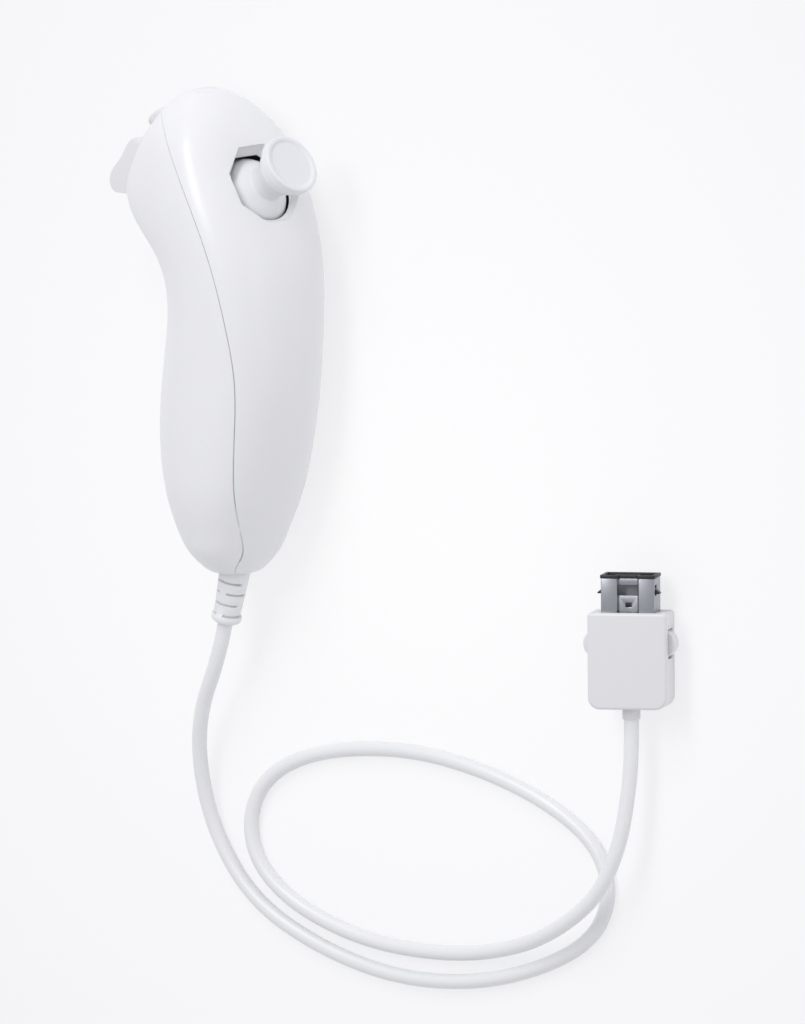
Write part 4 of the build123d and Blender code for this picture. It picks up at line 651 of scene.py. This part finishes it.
@dataclass
class Cord:
    """The cord: one loose loop over the floor from the strain relief to the plug."""

    diameter: float = 3.5
    length: float = 455.9
    floor_gap: float = 0.05
    # Straight leads at the relief and the plug, as whole points in the row frame
    lead_out: tuple[tuple[float, float, float], ...] = (
        (3.34, -61.42, 14.78), (1.34, -69.64, 13.92),
    )
    lead_in: tuple[tuple[float, float, float], ...] = (
        (109.09, -84.69, 7.94), (108.79, -76.2, 7.94),
    )
    # Points on the floor, with the clear height under the cord
    route: tuple[tuple[float, float, float], ...] = (
        (-6.3, -84.0, 7.8), (-8.6, -98.5, 3.0), (-5.3, -113.5, 0.2), (5.0, -127.5, 0),
        (22.5, -136.7, 0), (43.5, -142.2, 0), (65.0, -141.8, 0), (83.5, -136.6, 0),
        (96.6, -128.8, 0), (100.8, -118.4, 0), (97.3, -107.6, 0), (85.6, -99.3, 0),
        (67.5, -92.5, 0), (46.0, -88.7, 0), (22.6, -90.7, 0), (8.0, -97.4, 0),
        (2.9, -107.7, 0), (5.6, -118.9, 0), (16.8, -128.0, 0), (36.0, -134.5, 0),
        (58.0, -135.8, 0), (77.0, -132.5, 2.4), (91.8, -126.0, 6.6), (102.3, -117.2, 7.8),
        (107.3, -105.6, 7.6), (108.6, -94.5, 6.6),
    )
    # Order of the smooth curve, its steps from point to point, and its fineness round the jacket
    curve_order: int = 3
    steps_along: int = 14
    steps_around: int = 10

    def build(self, plug_pieces: list[bpy.types.Object]) -> bpy.types.Object:
        """Args:
            plug_pieces: Not used.

        Returns:
            The cord's curve.
        """
        lift = self.floor_gap + self.diameter / 2
        points = [*self.lead_out, *[(x, y, lift + z) for x, y, z in self.route], *self.lead_in]
        curve = bpy.data.curves.new("cord_jacket", "CURVE")
        curve.dimensions = "3D"
        spline = curve.splines.new("NURBS")
        spline.points.add(len(points) - 1)
        for point, place in zip(spline.points, points):
            point.co = (*[value * MM for value in place], 1.0)
        spline.order_u = self.curve_order
        spline.use_endpoint_u = True
        spline.resolution_u = self.steps_along
        curve.bevel_depth = self.diameter / 2 * MM
        curve.bevel_resolution = self.steps_around
        curve.use_fill_caps = True
        piece = stand_in(new_object("cord_jacket", curve), "cord")
        return piece


@dataclass(frozen=True)
class Lamp:
    """One soft lamp, placed from the handset's tail by the picture's axes.

    Attributes:
        name: Its name in the scene.
        right: How far it hangs to the picture's right, in metres.
        up: How far it hangs towards the picture's top.
        back: How far it hangs towards the camera.
        width: Its panel's width in metres.
        height: Its panel's height in metres.
        energy: Its power in watts.
    """

    name: str
    right: float
    up: float
    back: float
    width: float
    height: float
    energy: float


@dataclass
class Studio:
    """Pale floor, soft lamps and the camera at the photograph's angle."""

    # Camera's place over the floor and its roll, in degrees
    elevation: float = 58.5
    azimuth: float = 13.2
    roll: float = -100.0
    # The photograph's height in pixels and its millimetres to the pixel
    image_height: int = 1024
    pixel: float = 0.2306
    # Middle of the picture, right of and above the handset's tail, in millimetres
    middle_right: float = 38.86
    middle_up: float = 13.6
    # The camera's distance in millimetres, and how far it sees in metres
    distance: float = 1500.0
    sight: float = 10.0
    floor_tone: str = "#FEFEFF"
    # Tone of the painted shade that darkens the floor towards the picture's corners
    floor_painted_corner_shade: str = "#F1F1F3"
    floor_roughness: float = 0.9
    floor_specular: float = 0.1
    # Half of the floor's side, and the reach and place of the pale middle of the painted corner shade, in metres
    floor_half: float = 3.0
    pale_reach: float = 0.26
    pale_middle: tuple[float, float, float] = (0.05, -0.04, 0.0)
    # Share of plain white in the floor that the camera sees, which keeps the shadow light
    white_share: float = 0.75
    sky_tone: str = "#FDFDFF"
    sky_strength: float = 0.65
    # A tall strip lamp whose highlight runs along the shoulder, and a weak one for the far flank
    lamps: tuple[Lamp, ...] = (
        Lamp("strip_lamp", -0.5, 0.6, 0.85, 0.28, 1.1, 6.6),
        Lamp("flank_lamp", 0.9, 0.1, 0.5, 0.4, 1.0, 1.5),
    )

    def axes(self) -> tuple[Vector, Vector, Vector]:
        """Work out the picture's axes.

        Returns:
            Its right, its up and the direction back to the camera.
        """
        rise, turn, roll = (math.radians(a) for a in (self.elevation, self.azimuth, self.roll))
        back = Vector((
            math.cos(rise) * math.cos(turn), math.cos(rise) * math.sin(turn), math.sin(rise),
        ))
        level = Vector((-math.sin(turn), math.cos(turn), 0))
        above = back.cross(level)
        right = level * math.cos(roll) + above * math.sin(roll)
        return right, back.cross(right), back

    def camera(self) -> None:
        """Set an orthographic camera at the photograph's angle and scale."""
        right, up, back = self.axes()
        data = bpy.data.cameras.new("camera")
        data.type = "ORTHO"
        data.sensor_fit = "VERTICAL"
        data.ortho_scale = self.image_height * self.pixel * MM
        data.clip_end = self.sight
        made = new_object("camera", data)
        middle = handset_placement().origin + (right * self.middle_right + up * self.middle_up) * MM
        made.matrix_world = Placement(middle + back * self.distance * MM, right, up, back).matrix()
        bpy.context.scene.camera = made

    def floor(self) -> None:
        """Lay a wide pale floor with painted shade that darkens it a little towards the picture's corners."""
        shape = bmesh.new()
        bmesh.ops.create_grid(shape, x_segments=1, y_segments=1, size=self.floor_half)
        made = mesh_object("floor", shape)
        paper = bpy.data.materials.new("paper sweep, matt")
        paper.use_nodes = True
        tree = paper.node_tree
        place = add_node(tree, "ShaderNodeTexCoord").outputs["Object"]
        centred = add_node(
            tree, "ShaderNodeMapping",
            {
                "vector_type": "TEXTURE", "Location": self.pale_middle,
                "Scale": [self.pale_reach] * 3,
            },
            {"Vector": place},
        )
        # A spherical fall from the pale middle paints shade onto the floor towards the picture's corners
        fall = add_node(
            tree, "ShaderNodeTexGradient", {"gradient_type": "SPHERICAL"},
            {"Vector": centred.outputs["Vector"]},
        )
        tone = mix_tones(tree, fall.outputs["Fac"], self.floor_painted_corner_shade, self.floor_tone)
        shader = tree.nodes["Principled BSDF"]
        tree.links.new(tone, shader.inputs["Base Color"])
        shader.inputs["Roughness"].default_value = self.floor_roughness
        shader.inputs["Specular IOR Level"].default_value = self.floor_specular
        ray = add_node(tree, "ShaderNodeLightPath")
        seen = add_node(tree, "ShaderNodeMath", {"operation": "MAXIMUM"})
        tree.links.new(ray.outputs["Is Camera Ray"], seen.inputs[0])
        tree.links.new(ray.outputs["Is Glossy Ray"], seen.inputs[1])
        share = add_node(tree, "ShaderNodeMath", {"operation": "MULTIPLY"})
        tree.links.new(seen.outputs["Value"], share.inputs[0])
        share.inputs[1].default_value = self.white_share
        white = add_node(tree, "ShaderNodeEmission", {"Strength": 1.0}, {"Color": tone})
        seen_floor = add_node(tree, "ShaderNodeMixShader", links={"Fac": share.outputs["Value"]})
        tree.links.new(shader.outputs["BSDF"], seen_floor.inputs[1])
        tree.links.new(white.outputs["Emission"], seen_floor.inputs[2])
        output = tree.nodes["Material Output"]
        tree.links.new(seen_floor.outputs["Shader"], output.inputs["Surface"])
        made.data.materials.append(paper)

    def hang(self, lamp: Lamp) -> None:
        """Hang one lamp, aimed at the object and out of the camera's sight.

        Args:
            lamp: The lamp to hang.
        """
        right, up, back = self.axes()
        data = bpy.data.lights.new(lamp.name, "AREA")
        data.shape = "RECTANGLE"
        data.size, data.size_y = lamp.width, lamp.height
        data.energy = lamp.energy
        made = new_object(lamp.name, data)
        made.visible_camera = False
        offset = right * lamp.right + up * lamp.up + back * lamp.back
        facing = offset.normalized()
        level = up.cross(facing).normalized()
        place = handset_placement().origin + offset
        made.matrix_world = Placement(place, level, facing.cross(level), facing).matrix()

    def world(self) -> None:
        """Light everything evenly from a pale sky that the camera sees as white."""
        made = bpy.data.worlds.new("studio sky")
        made.use_nodes = True
        tree = made.node_tree
        ray = add_node(tree, "ShaderNodeLightPath")
        seen = add_node(
            tree, "ShaderNodeMapRange", {"To Min": self.sky_strength, "To Max": 1.0},
            {"Value": ray.outputs["Is Camera Ray"]},
        )
        sky = tree.nodes["Background"]
        sky.inputs["Color"].default_value = linear(self.sky_tone)
        tree.links.new(seen.outputs["Result"], sky.inputs["Strength"])
        bpy.context.scene.world = made

    def build(self) -> None:
        """Set the whole studio."""
        self.camera()
        self.floor()
        self.world()
        for lamp in self.lamps:
            self.hang(lamp)
        bpy.context.scene.view_settings.view_transform = "Standard"


@dataclass
class CasingSection:
    """One cross-section of the casing, square to its length, in millimetres.

    Attributes:
        place: Its place along the handset, from the tail.
        half_width: Half of its width across.
        thumb: How far it reaches on the thumb's side.
        finger: How far it reaches on the fingers' side.
        belt: Where it is widest, from the finger side to the thumb side.
        thumb_fullness: How square its thumb side is, from 0.55 for round to one.
        finger_fullness: How square its finger side is.
    """

    place: float
    half_width: float
    thumb: float
    finger: float
    belt: float
    thumb_fullness: float
    finger_fullness: float


@dataclass
class Casing:
    """The two white casing halves, with a skin far smoother than their CAD facets."""

    nodes: tuple[str, ...] = ("top_shell", "bottom_shell")
    sections: tuple[CasingSection, ...] = (
        CasingSection(0.0, 5.2, 4.8, -3.8, 1.0, 0.58, 0.58),
        CasingSection(3.0, 9.9, 7.6, -7.2, 0.8, 0.60, 0.60),
        CasingSection(8.0, 12.9, 9.9, -10.7, 0.6, 0.64, 0.62),
        CasingSection(16.0, 15.3, 12.8, -13.6, 0.8, 0.68, 0.64),
        CasingSection(27.0, 16.7, 15.8, -15.7, 1.6, 0.70, 0.66),
        CasingSection(41.0, 17.4, 18.4, -15.4, 2.6, 0.70, 0.66),
        CasingSection(54.0, 17.8, 19.3, -13.8, 3.4, 0.70, 0.62),
        CasingSection(66.0, 18.3, 19.0, -14.0, 3.8, 0.70, 0.58),
        CasingSection(74.0, 18.8, 18.0, -18.6, 3.0, 0.69, 0.56),
        CasingSection(81.0, 19.1, 16.0, -26.2, 1.8, 0.68, 0.56),
        CasingSection(89.0, 18.9, 12.3, -29.6, 0.4, 0.66, 0.56),
        CasingSection(96.0, 17.8, 8.2, -27.6, -1.2, 0.64, 0.56),
        CasingSection(102.0, 15.6, 4.2, -24.2, -3.0, 0.62, 0.56),
        CasingSection(106.5, 12.0, 0.6, -20.4, -5.4, 0.60, 0.56),
        CasingSection(109.6, 8.0, -2.8, -17.0, -7.4, 0.58, 0.56),
        CasingSection(111.4, 4.0, -5.8, -13.4, -9.0, 0.56, 0.56),
    )
    # Arcs in a section's outline, and the grid's steps along the casing and round it
    arcs: int = 4
    stations: int = 240
    around: int = 160
    # How near a vertex lies to the true skin to be laid on it, and the longest edge left on it
    reach: float = 0.35
    longest_edge: float = 1.6
    # Lengths left as they are at the tail and the head, and those over which the laying fades in
    tail_left: float = 1.5
    tail_fade: float = 7.5
    head_left: float = 0.3
    head_fade: float = 4.0
    # Least likeness of two normals, as a cosine, for a face to count as outer skin
    likeness: float = 0.93
    # Most rounds of splitting long edges, and the turn past which the halves' edges stay hard
    rounds: int = 7
    hard_turn: float = 34.0

    def control_points(self, item: CasingSection) -> list[tuple[float, float]]:
        """Return a section's outline as the control points of its arcs.

        Args:
            item: The section.

        Returns:
            The points in order as (across, thumb), with the first one again at the end.
        """
        half, belt = item.half_width, item.belt
        up, down = item.thumb_fullness, item.finger_fullness
        high = belt + up * (item.thumb - belt)
        low = belt + down * (item.finger - belt)
        return [
            (half, belt), (half, high), (up * half, item.thumb), (0, item.thumb),
            (-up * half, item.thumb), (-half, high), (-half, belt),
            (-half, low), (-down * half, item.finger), (0, item.finger),
            (down * half, item.finger), (half, low), (half, belt),
        ]

    def true_skin(self) -> tuple[BVHTree, bmesh.types.BMesh]:
        """Build the casing's whole outer skin as a fine grid, to lay the facets on.

        Returns:
            A search tree of the grid, and the grid itself, which the caller frees.
        """
        places = np.array([item.place for item in self.sections])
        controls = np.array([np.ravel(self.control_points(item)) for item in self.sections])
        wanted = np.linspace(places[0], places[-1], self.stations + 1)
        smooth = spline_through(places, controls, wanted).reshape(len(wanted), -1, 2)
        handset = handset_placement()
        grid = bmesh.new()
        bmesh.ops.create_grid(grid, x_segments=self.stations, y_segments=self.around, size=0.5)
        for vertex in grid.verts:
            row = round((vertex.co.x + 0.5) * self.stations)
            turn = (vertex.co.y + 0.5) * self.arcs
            arc = min(int(turn), self.arcs - 1)
            t = turn - arc
            a, b, c, d = smooth[row, 3 * arc:3 * arc + 4]
            across, thumb = (
                a * (1 - t) ** 3 + 3 * b * t * (1 - t) ** 2 + 3 * c * t * t * (1 - t) + d * t**3
            )
            vertex.co = handset.point(thumb, wanted[row], across)
        bmesh.ops.remove_doubles(grid, verts=grid.verts, dist=GRID_MERGE * MM)
        bmesh.ops.recalc_face_normals(grid, faces=grid.faces)
        return BVHTree.FromBMesh(grid), grid

    def share_laid(self, point: Vector) -> float:
        """Return how far a point is moved to the true skin, by its place along the handset.

        Args:
            point: The point in the row frame.

        Returns:
            A share of one, or zero and less close to the tail and the head.
        """
        handset = handset_placement()
        along = (point - handset.origin).dot(handset.y) / MM
        from_tail = (along - self.sections[0].place - self.tail_left) / self.tail_fade
        from_head = (self.sections[-1].place - self.head_left - along) / self.head_fade
        return min(1.0, from_tail, from_head)

    def lay_on_skin(self, shape: bmesh.types.BMesh, skin: BVHTree) -> None:
        """Refine the outer faces of a casing half and lay them on the true skin.

        Args:
            shape: The merged half.
            skin: The search tree of the true skin.
        """
        bmesh.ops.triangulate(shape, faces=shape.faces[:])
        on_skin: dict[bmesh.types.BMVert, bool] = {}

        def lies_on_skin(vertex: bmesh.types.BMVert) -> bool:
            """Lay a vertex on the skin, once, if it belongs there, and return whether it does."""
            if vertex not in on_skin:
                spot, normal, _, distance = skin.find_nearest(vertex.co)
                share = self.share_laid(vertex.co)
                belongs = share > 0 and distance < self.reach * MM and any(
                    face.normal.dot(normal) > self.likeness for face in vertex.link_faces
                )
                if belongs:
                    vertex.co = vertex.co.lerp(spot, share)
                on_skin[vertex] = belongs
            return on_skin[vertex]

        for _ in range(self.rounds):
            shape.normal_update()
            long_edges = [
                edge for edge in shape.edges
                if edge.calc_length() > self.longest_edge * MM
                and all(lies_on_skin(vertex) for vertex in edge.verts)
                and max(
                    abs(face.normal.dot(skin.find_nearest(face.calc_center_median())[1]))
                    for face in edge.link_faces
                ) > self.likeness
            ]
            if not long_edges:
                break
            bmesh.ops.subdivide_edges(shape, edges=long_edges, cuts=1)
            bmesh.ops.triangulate(shape, faces=shape.faces[:])
        shape.normal_update()
        for vertex in shape.verts:
            lies_on_skin(vertex)

    def build(self) -> None:
        """Make both halves."""
        tree, grid = self.true_skin()
        for node in self.nodes:
            shape = merged_copy(node, flat=0.0)
            self.lay_on_skin(shape, tree)
            shade(shape, self.hard_turn)
            stand_in(mesh_object(f"{node}_skin", shape), node)
        grid.free()


@dataclass
class Thumbstick:
    """The thumb cap with its dished top and bead, neck and dome, and the mechanism under it."""

    sphere: float = 9.8
    wall: float = 1.1
    skirt_height: float = 2.6
    neck_radius: float = 4.4
    hub_radius: float = 2.4
    hub_low: float = 5.8
    bore_radius: float = 1.33
    bore_top: float = 14.05
    cap_radius: float = 7.2
    cap_top: float = 19.0
    cap_low: float = 16.4
    tier_radius: float = 6.1
    tier_low: float = 14.8
    dish_radius: float = 5.7
    dish_depth: float = 0.5
    # Half of the step from the cap down to its tier
    step: float = 0.3
    # Roundings of the dish's foot, its bead, the rim, the tier, the neck, the hub and its bore
    dish_rounding: float = 0.35
    bead_rounding: float = 0.3
    rim_rounding: float = 0.85
    tier_rounding: float = 0.9
    waist_rounding: float = 1.2
    neck_rounding: float = 0.5
    hub_rounding: float = 0.2
    bore_rounding: float = 0.1
    # Steps round the turn and along the dome's outside and inside
    around: int = 128
    dome_steps: int = 22
    inside_steps: int = 16
    cap_hard_turn: float = 40.0
    # How far the neck flares above its waist, and both heights over the dome
    flare: float = 0.5
    flare_rise: float = 3.8
    waist: float = -0.1
    waist_rise: float = 1.8
    # The centring spring under the lever
    coil_radius: float = 2.65
    wire_radius: float = 0.3
    coil_foot: float = -5.05
    coil_top: float = -3.55
    coil_turns: int = 3
    coil_steps: int = 40
    wire_sides: int = 12
    wire_hard_turn: float = 60.0
    mechanism: PieceGroup = PieceGroup(
        ("stick_lever", "gimbal_lower", "gimbal_upper", "spring_plate"), Rounding(0.12, 50.0),
    )

    def arc(
        self, radius: float, low: float, high: float, steps: int
    ) -> list[tuple[float, float, float]]:
        """Return corners along a circle round the pivot.

        Args:
            radius: The circle's radius in millimetres.
            low: The height of the first corner.
            high: The height of the last corner.
            steps: How many parts the arc between them has.

        Returns:
            The corners as (radius from the axis, height, no rounding).
        """
        first, last = math.asin(low / radius), math.asin(high / radius)
        turns = [first + (last - first) * step / steps for step in range(steps + 1)]
        return [(radius * math.cos(turn), radius * math.sin(turn), 0.0) for turn in turns]

    def profile(self) -> list[tuple[float, float]]:
        """Draw the moulding's whole section, from the middle of its top round to its bore.

        Returns:
            Its points as (radius from the axis, height).
        """
        inner = self.sphere - self.wall
        neck_high = math.sqrt(self.sphere**2 - self.neck_radius**2)
        hub_high = math.sqrt(inner**2 - self.hub_radius**2)
        low_dish = self.cap_top - self.dish_depth
        corners = [
            (0.0, low_dish, 0.0), (self.dish_radius, low_dish, self.dish_rounding),
            (self.dish_radius + self.dish_depth, self.cap_top, self.bead_rounding),
            (self.cap_radius, self.cap_top, self.rim_rounding),
            (self.cap_radius, self.cap_low + self.step, self.dish_rounding),
            (self.tier_radius, self.cap_low - self.step, self.bead_rounding),
            (self.tier_radius, self.tier_low, self.tier_rounding),
            (self.neck_radius + self.flare, neck_high + self.flare_rise, self.waist_rounding),
            (self.neck_radius + self.waist, neck_high + self.waist_rise, self.tier_rounding),
            (self.neck_radius, neck_high, self.neck_rounding),
            *self.arc(self.sphere, neck_high - self.step, self.skirt_height, self.dome_steps),
            *self.arc(inner, self.skirt_height, hub_high, self.inside_steps),
            (self.hub_radius, self.hub_low, self.hub_rounding),
            (self.bore_radius, self.hub_low, self.bore_rounding),
            (self.bore_radius, self.bore_top, 0.0), (0.0, self.bore_top, 0.0),
        ]
        return rounded_profile(corners)

    def coil(self) -> None:
        """Wind the centring spring's wire inside the CAD ring that stands for it."""
        place = stick_placement()
        shape = bmesh.new()
        start = Placement(
            place.point(self.coil_radius, 0, self.coil_foot), place.x, place.z, -place.y,
        )
        ring = bmesh.ops.create_circle(
            shape, segments=self.wire_sides, radius=self.wire_radius * MM, matrix=start.matrix(),
        )["verts"]
        steps = self.coil_steps * self.coil_turns
        bmesh.ops.spin(
            shape, geom=ring + shape.edges[:], cent=place.origin, axis=place.z,
            dvec=place.z * ((self.coil_top - self.coil_foot) * MM / steps),
            angle=math.tau * self.coil_turns, steps=steps,
        )
        bmesh.ops.holes_fill(shape, edges=[edge for edge in shape.edges if edge.is_boundary])
        bmesh.ops.recalc_face_normals(shape, faces=shape.faces)
        shade(shape, self.wire_hard_turn)
        stand_in(mesh_object("return_spring_wire", shape), "return_spring")

    def build(self) -> None:
        """Turn the cap, wind the spring and smooth the rest of the mechanism."""
        shape = spun(self.profile(), stick_placement(), self.around)
        shade(shape, self.cap_hard_turn)
        stand_in(mesh_object("stick_cap_turned", shape), "stick_cap")
        self.coil()
        self.mechanism.build()


@dataclass
class FrontControls:
    """The lower trigger, the upper button and the plate round both."""

    trigger_rounding: Rounding = Rounding(0.95, 45.0, 5)
    button_rounding: Rounding = Rounding(0.2)
    plate_rounding: Rounding = Rounding(0.18)
    # Height over the front face from which the trigger's edges are rounded
    finger_height: float = 2.2
    # Turns up to which its CAD facets are one face, and past which its edges stay hard
    trigger_flat: float = 1.5
    trigger_hard_turn: float = 35.0

    def height(self, point: Vector) -> float:
        """Return how high a point of the row frame is over the front face in millimetres."""
        handset = handset_placement()
        out = -Vector(JOINTS["c_button_press"]["axis"])
        return (point - handset.point(FACE_FOOT[0], FACE_FOOT[1], 0)).dot(out) / MM

    def trigger(self) -> None:
        """Round the trigger's finger edges and keep its crisp foot."""
        shape = merged_copy("z_trigger", self.trigger_flat)
        edges = [
            edge for edge in sharp_edges(shape, self.trigger_rounding.turn)
            if all(self.height(vertex.co) > self.finger_height for vertex in edge.verts)
        ]
        round_edges(shape, edges, self.trigger_rounding)
        shade(shape, self.trigger_hard_turn)
        stand_in(mesh_object("z_trigger_fine", shape), "z_trigger")

    def build(self) -> None:
        """Make the three front pieces."""
        self.trigger()
        fine_copy("c_button", self.button_rounding)
        fine_copy("button_bezel", self.plate_rounding)


@dataclass
class StrainRelief:
    """The slotted boot where the cord leaves the tail."""

    slot_rounding: Rounding = Rounding(0.12, 55.0, 3)
    hard_turn: float = 40.0

    def build(self) -> None:
        """Round the slots and the collar."""
        fine_copy("cable_relief", self.slot_rounding, self.hard_turn)


@dataclass
class Plug:
    """The plug: two covers, push buttons, latches, bright insert, rim and contacts."""

    groups: tuple[PieceGroup, ...] = (
        PieceGroup(("plug_front_cover", "plug_rear_cover"), Rounding(0.15)),
        PieceGroup(("release_button_left", "release_button_right"), Rounding(0.35, steps=4)),
        PieceGroup(("latch_arm_left", "latch_arm_right"), Rounding(0.08, 50.0)),
        PieceGroup(("plug_shield",), Rounding(0.16, 50.0, 3)),
        PieceGroup(("plug_mouth_rim",), Rounding(0.14, 50.0)),
        PieceGroup(("contact_block", "contacts"), Rounding(0.05)),
        PieceGroup(("plug_collar",), Rounding(0.15)),
        PieceGroup(("plug_cable",)),
    )

    def build(self) -> list[bpy.types.Object]:
        """Return every piece of the plug."""
        return [piece for group in self.groups for piece in group.build()]


@dataclass
class InnerWorks:
    """Screws, boards and small inner pieces, with the edges that moulding and pressing leave."""

    groups: tuple[PieceGroup, ...] = (
        PieceGroup(("shell_screws", "board_screws"), Rounding(0.18)),
        PieceGroup(("main_board", "button_board", "main_chip", "motion_sensor"), Rounding(0.08)),
        PieceGroup((
            "stick_housing", "angle_sensor_side", "angle_sensor_tail", "button_holder",
            "button_membrane", "cable_connector",
        ), Rounding(0.15)),
        PieceGroup(("trigger_pin", "inner_cable", "button_ribbon")),
    )

    def build(self) -> None:
        """Make each inner piece."""
        for group in self.groups:
            group.build()


def dress_nodes() -> None:
    """Give every CAD node its finish."""
    for node, piece in frame["nodes"].items():
        piece.data.materials.clear()
        piece.data.materials.append(SLOT_FINISHES[SLOTS[node]].material())


def main() -> None:
    """Build the studio, the cord and every sub-assembly in order."""
    logging.basicConfig(level=logging.INFO)
    Studio().build()
    dress_nodes()
    Casing().build()
    Thumbstick().build()
    FrontControls().build()
    StrainRelief().build()
    Cord().build(Plug().build())
    InnerWorks().build()


if __name__ == "__main__":
    main()
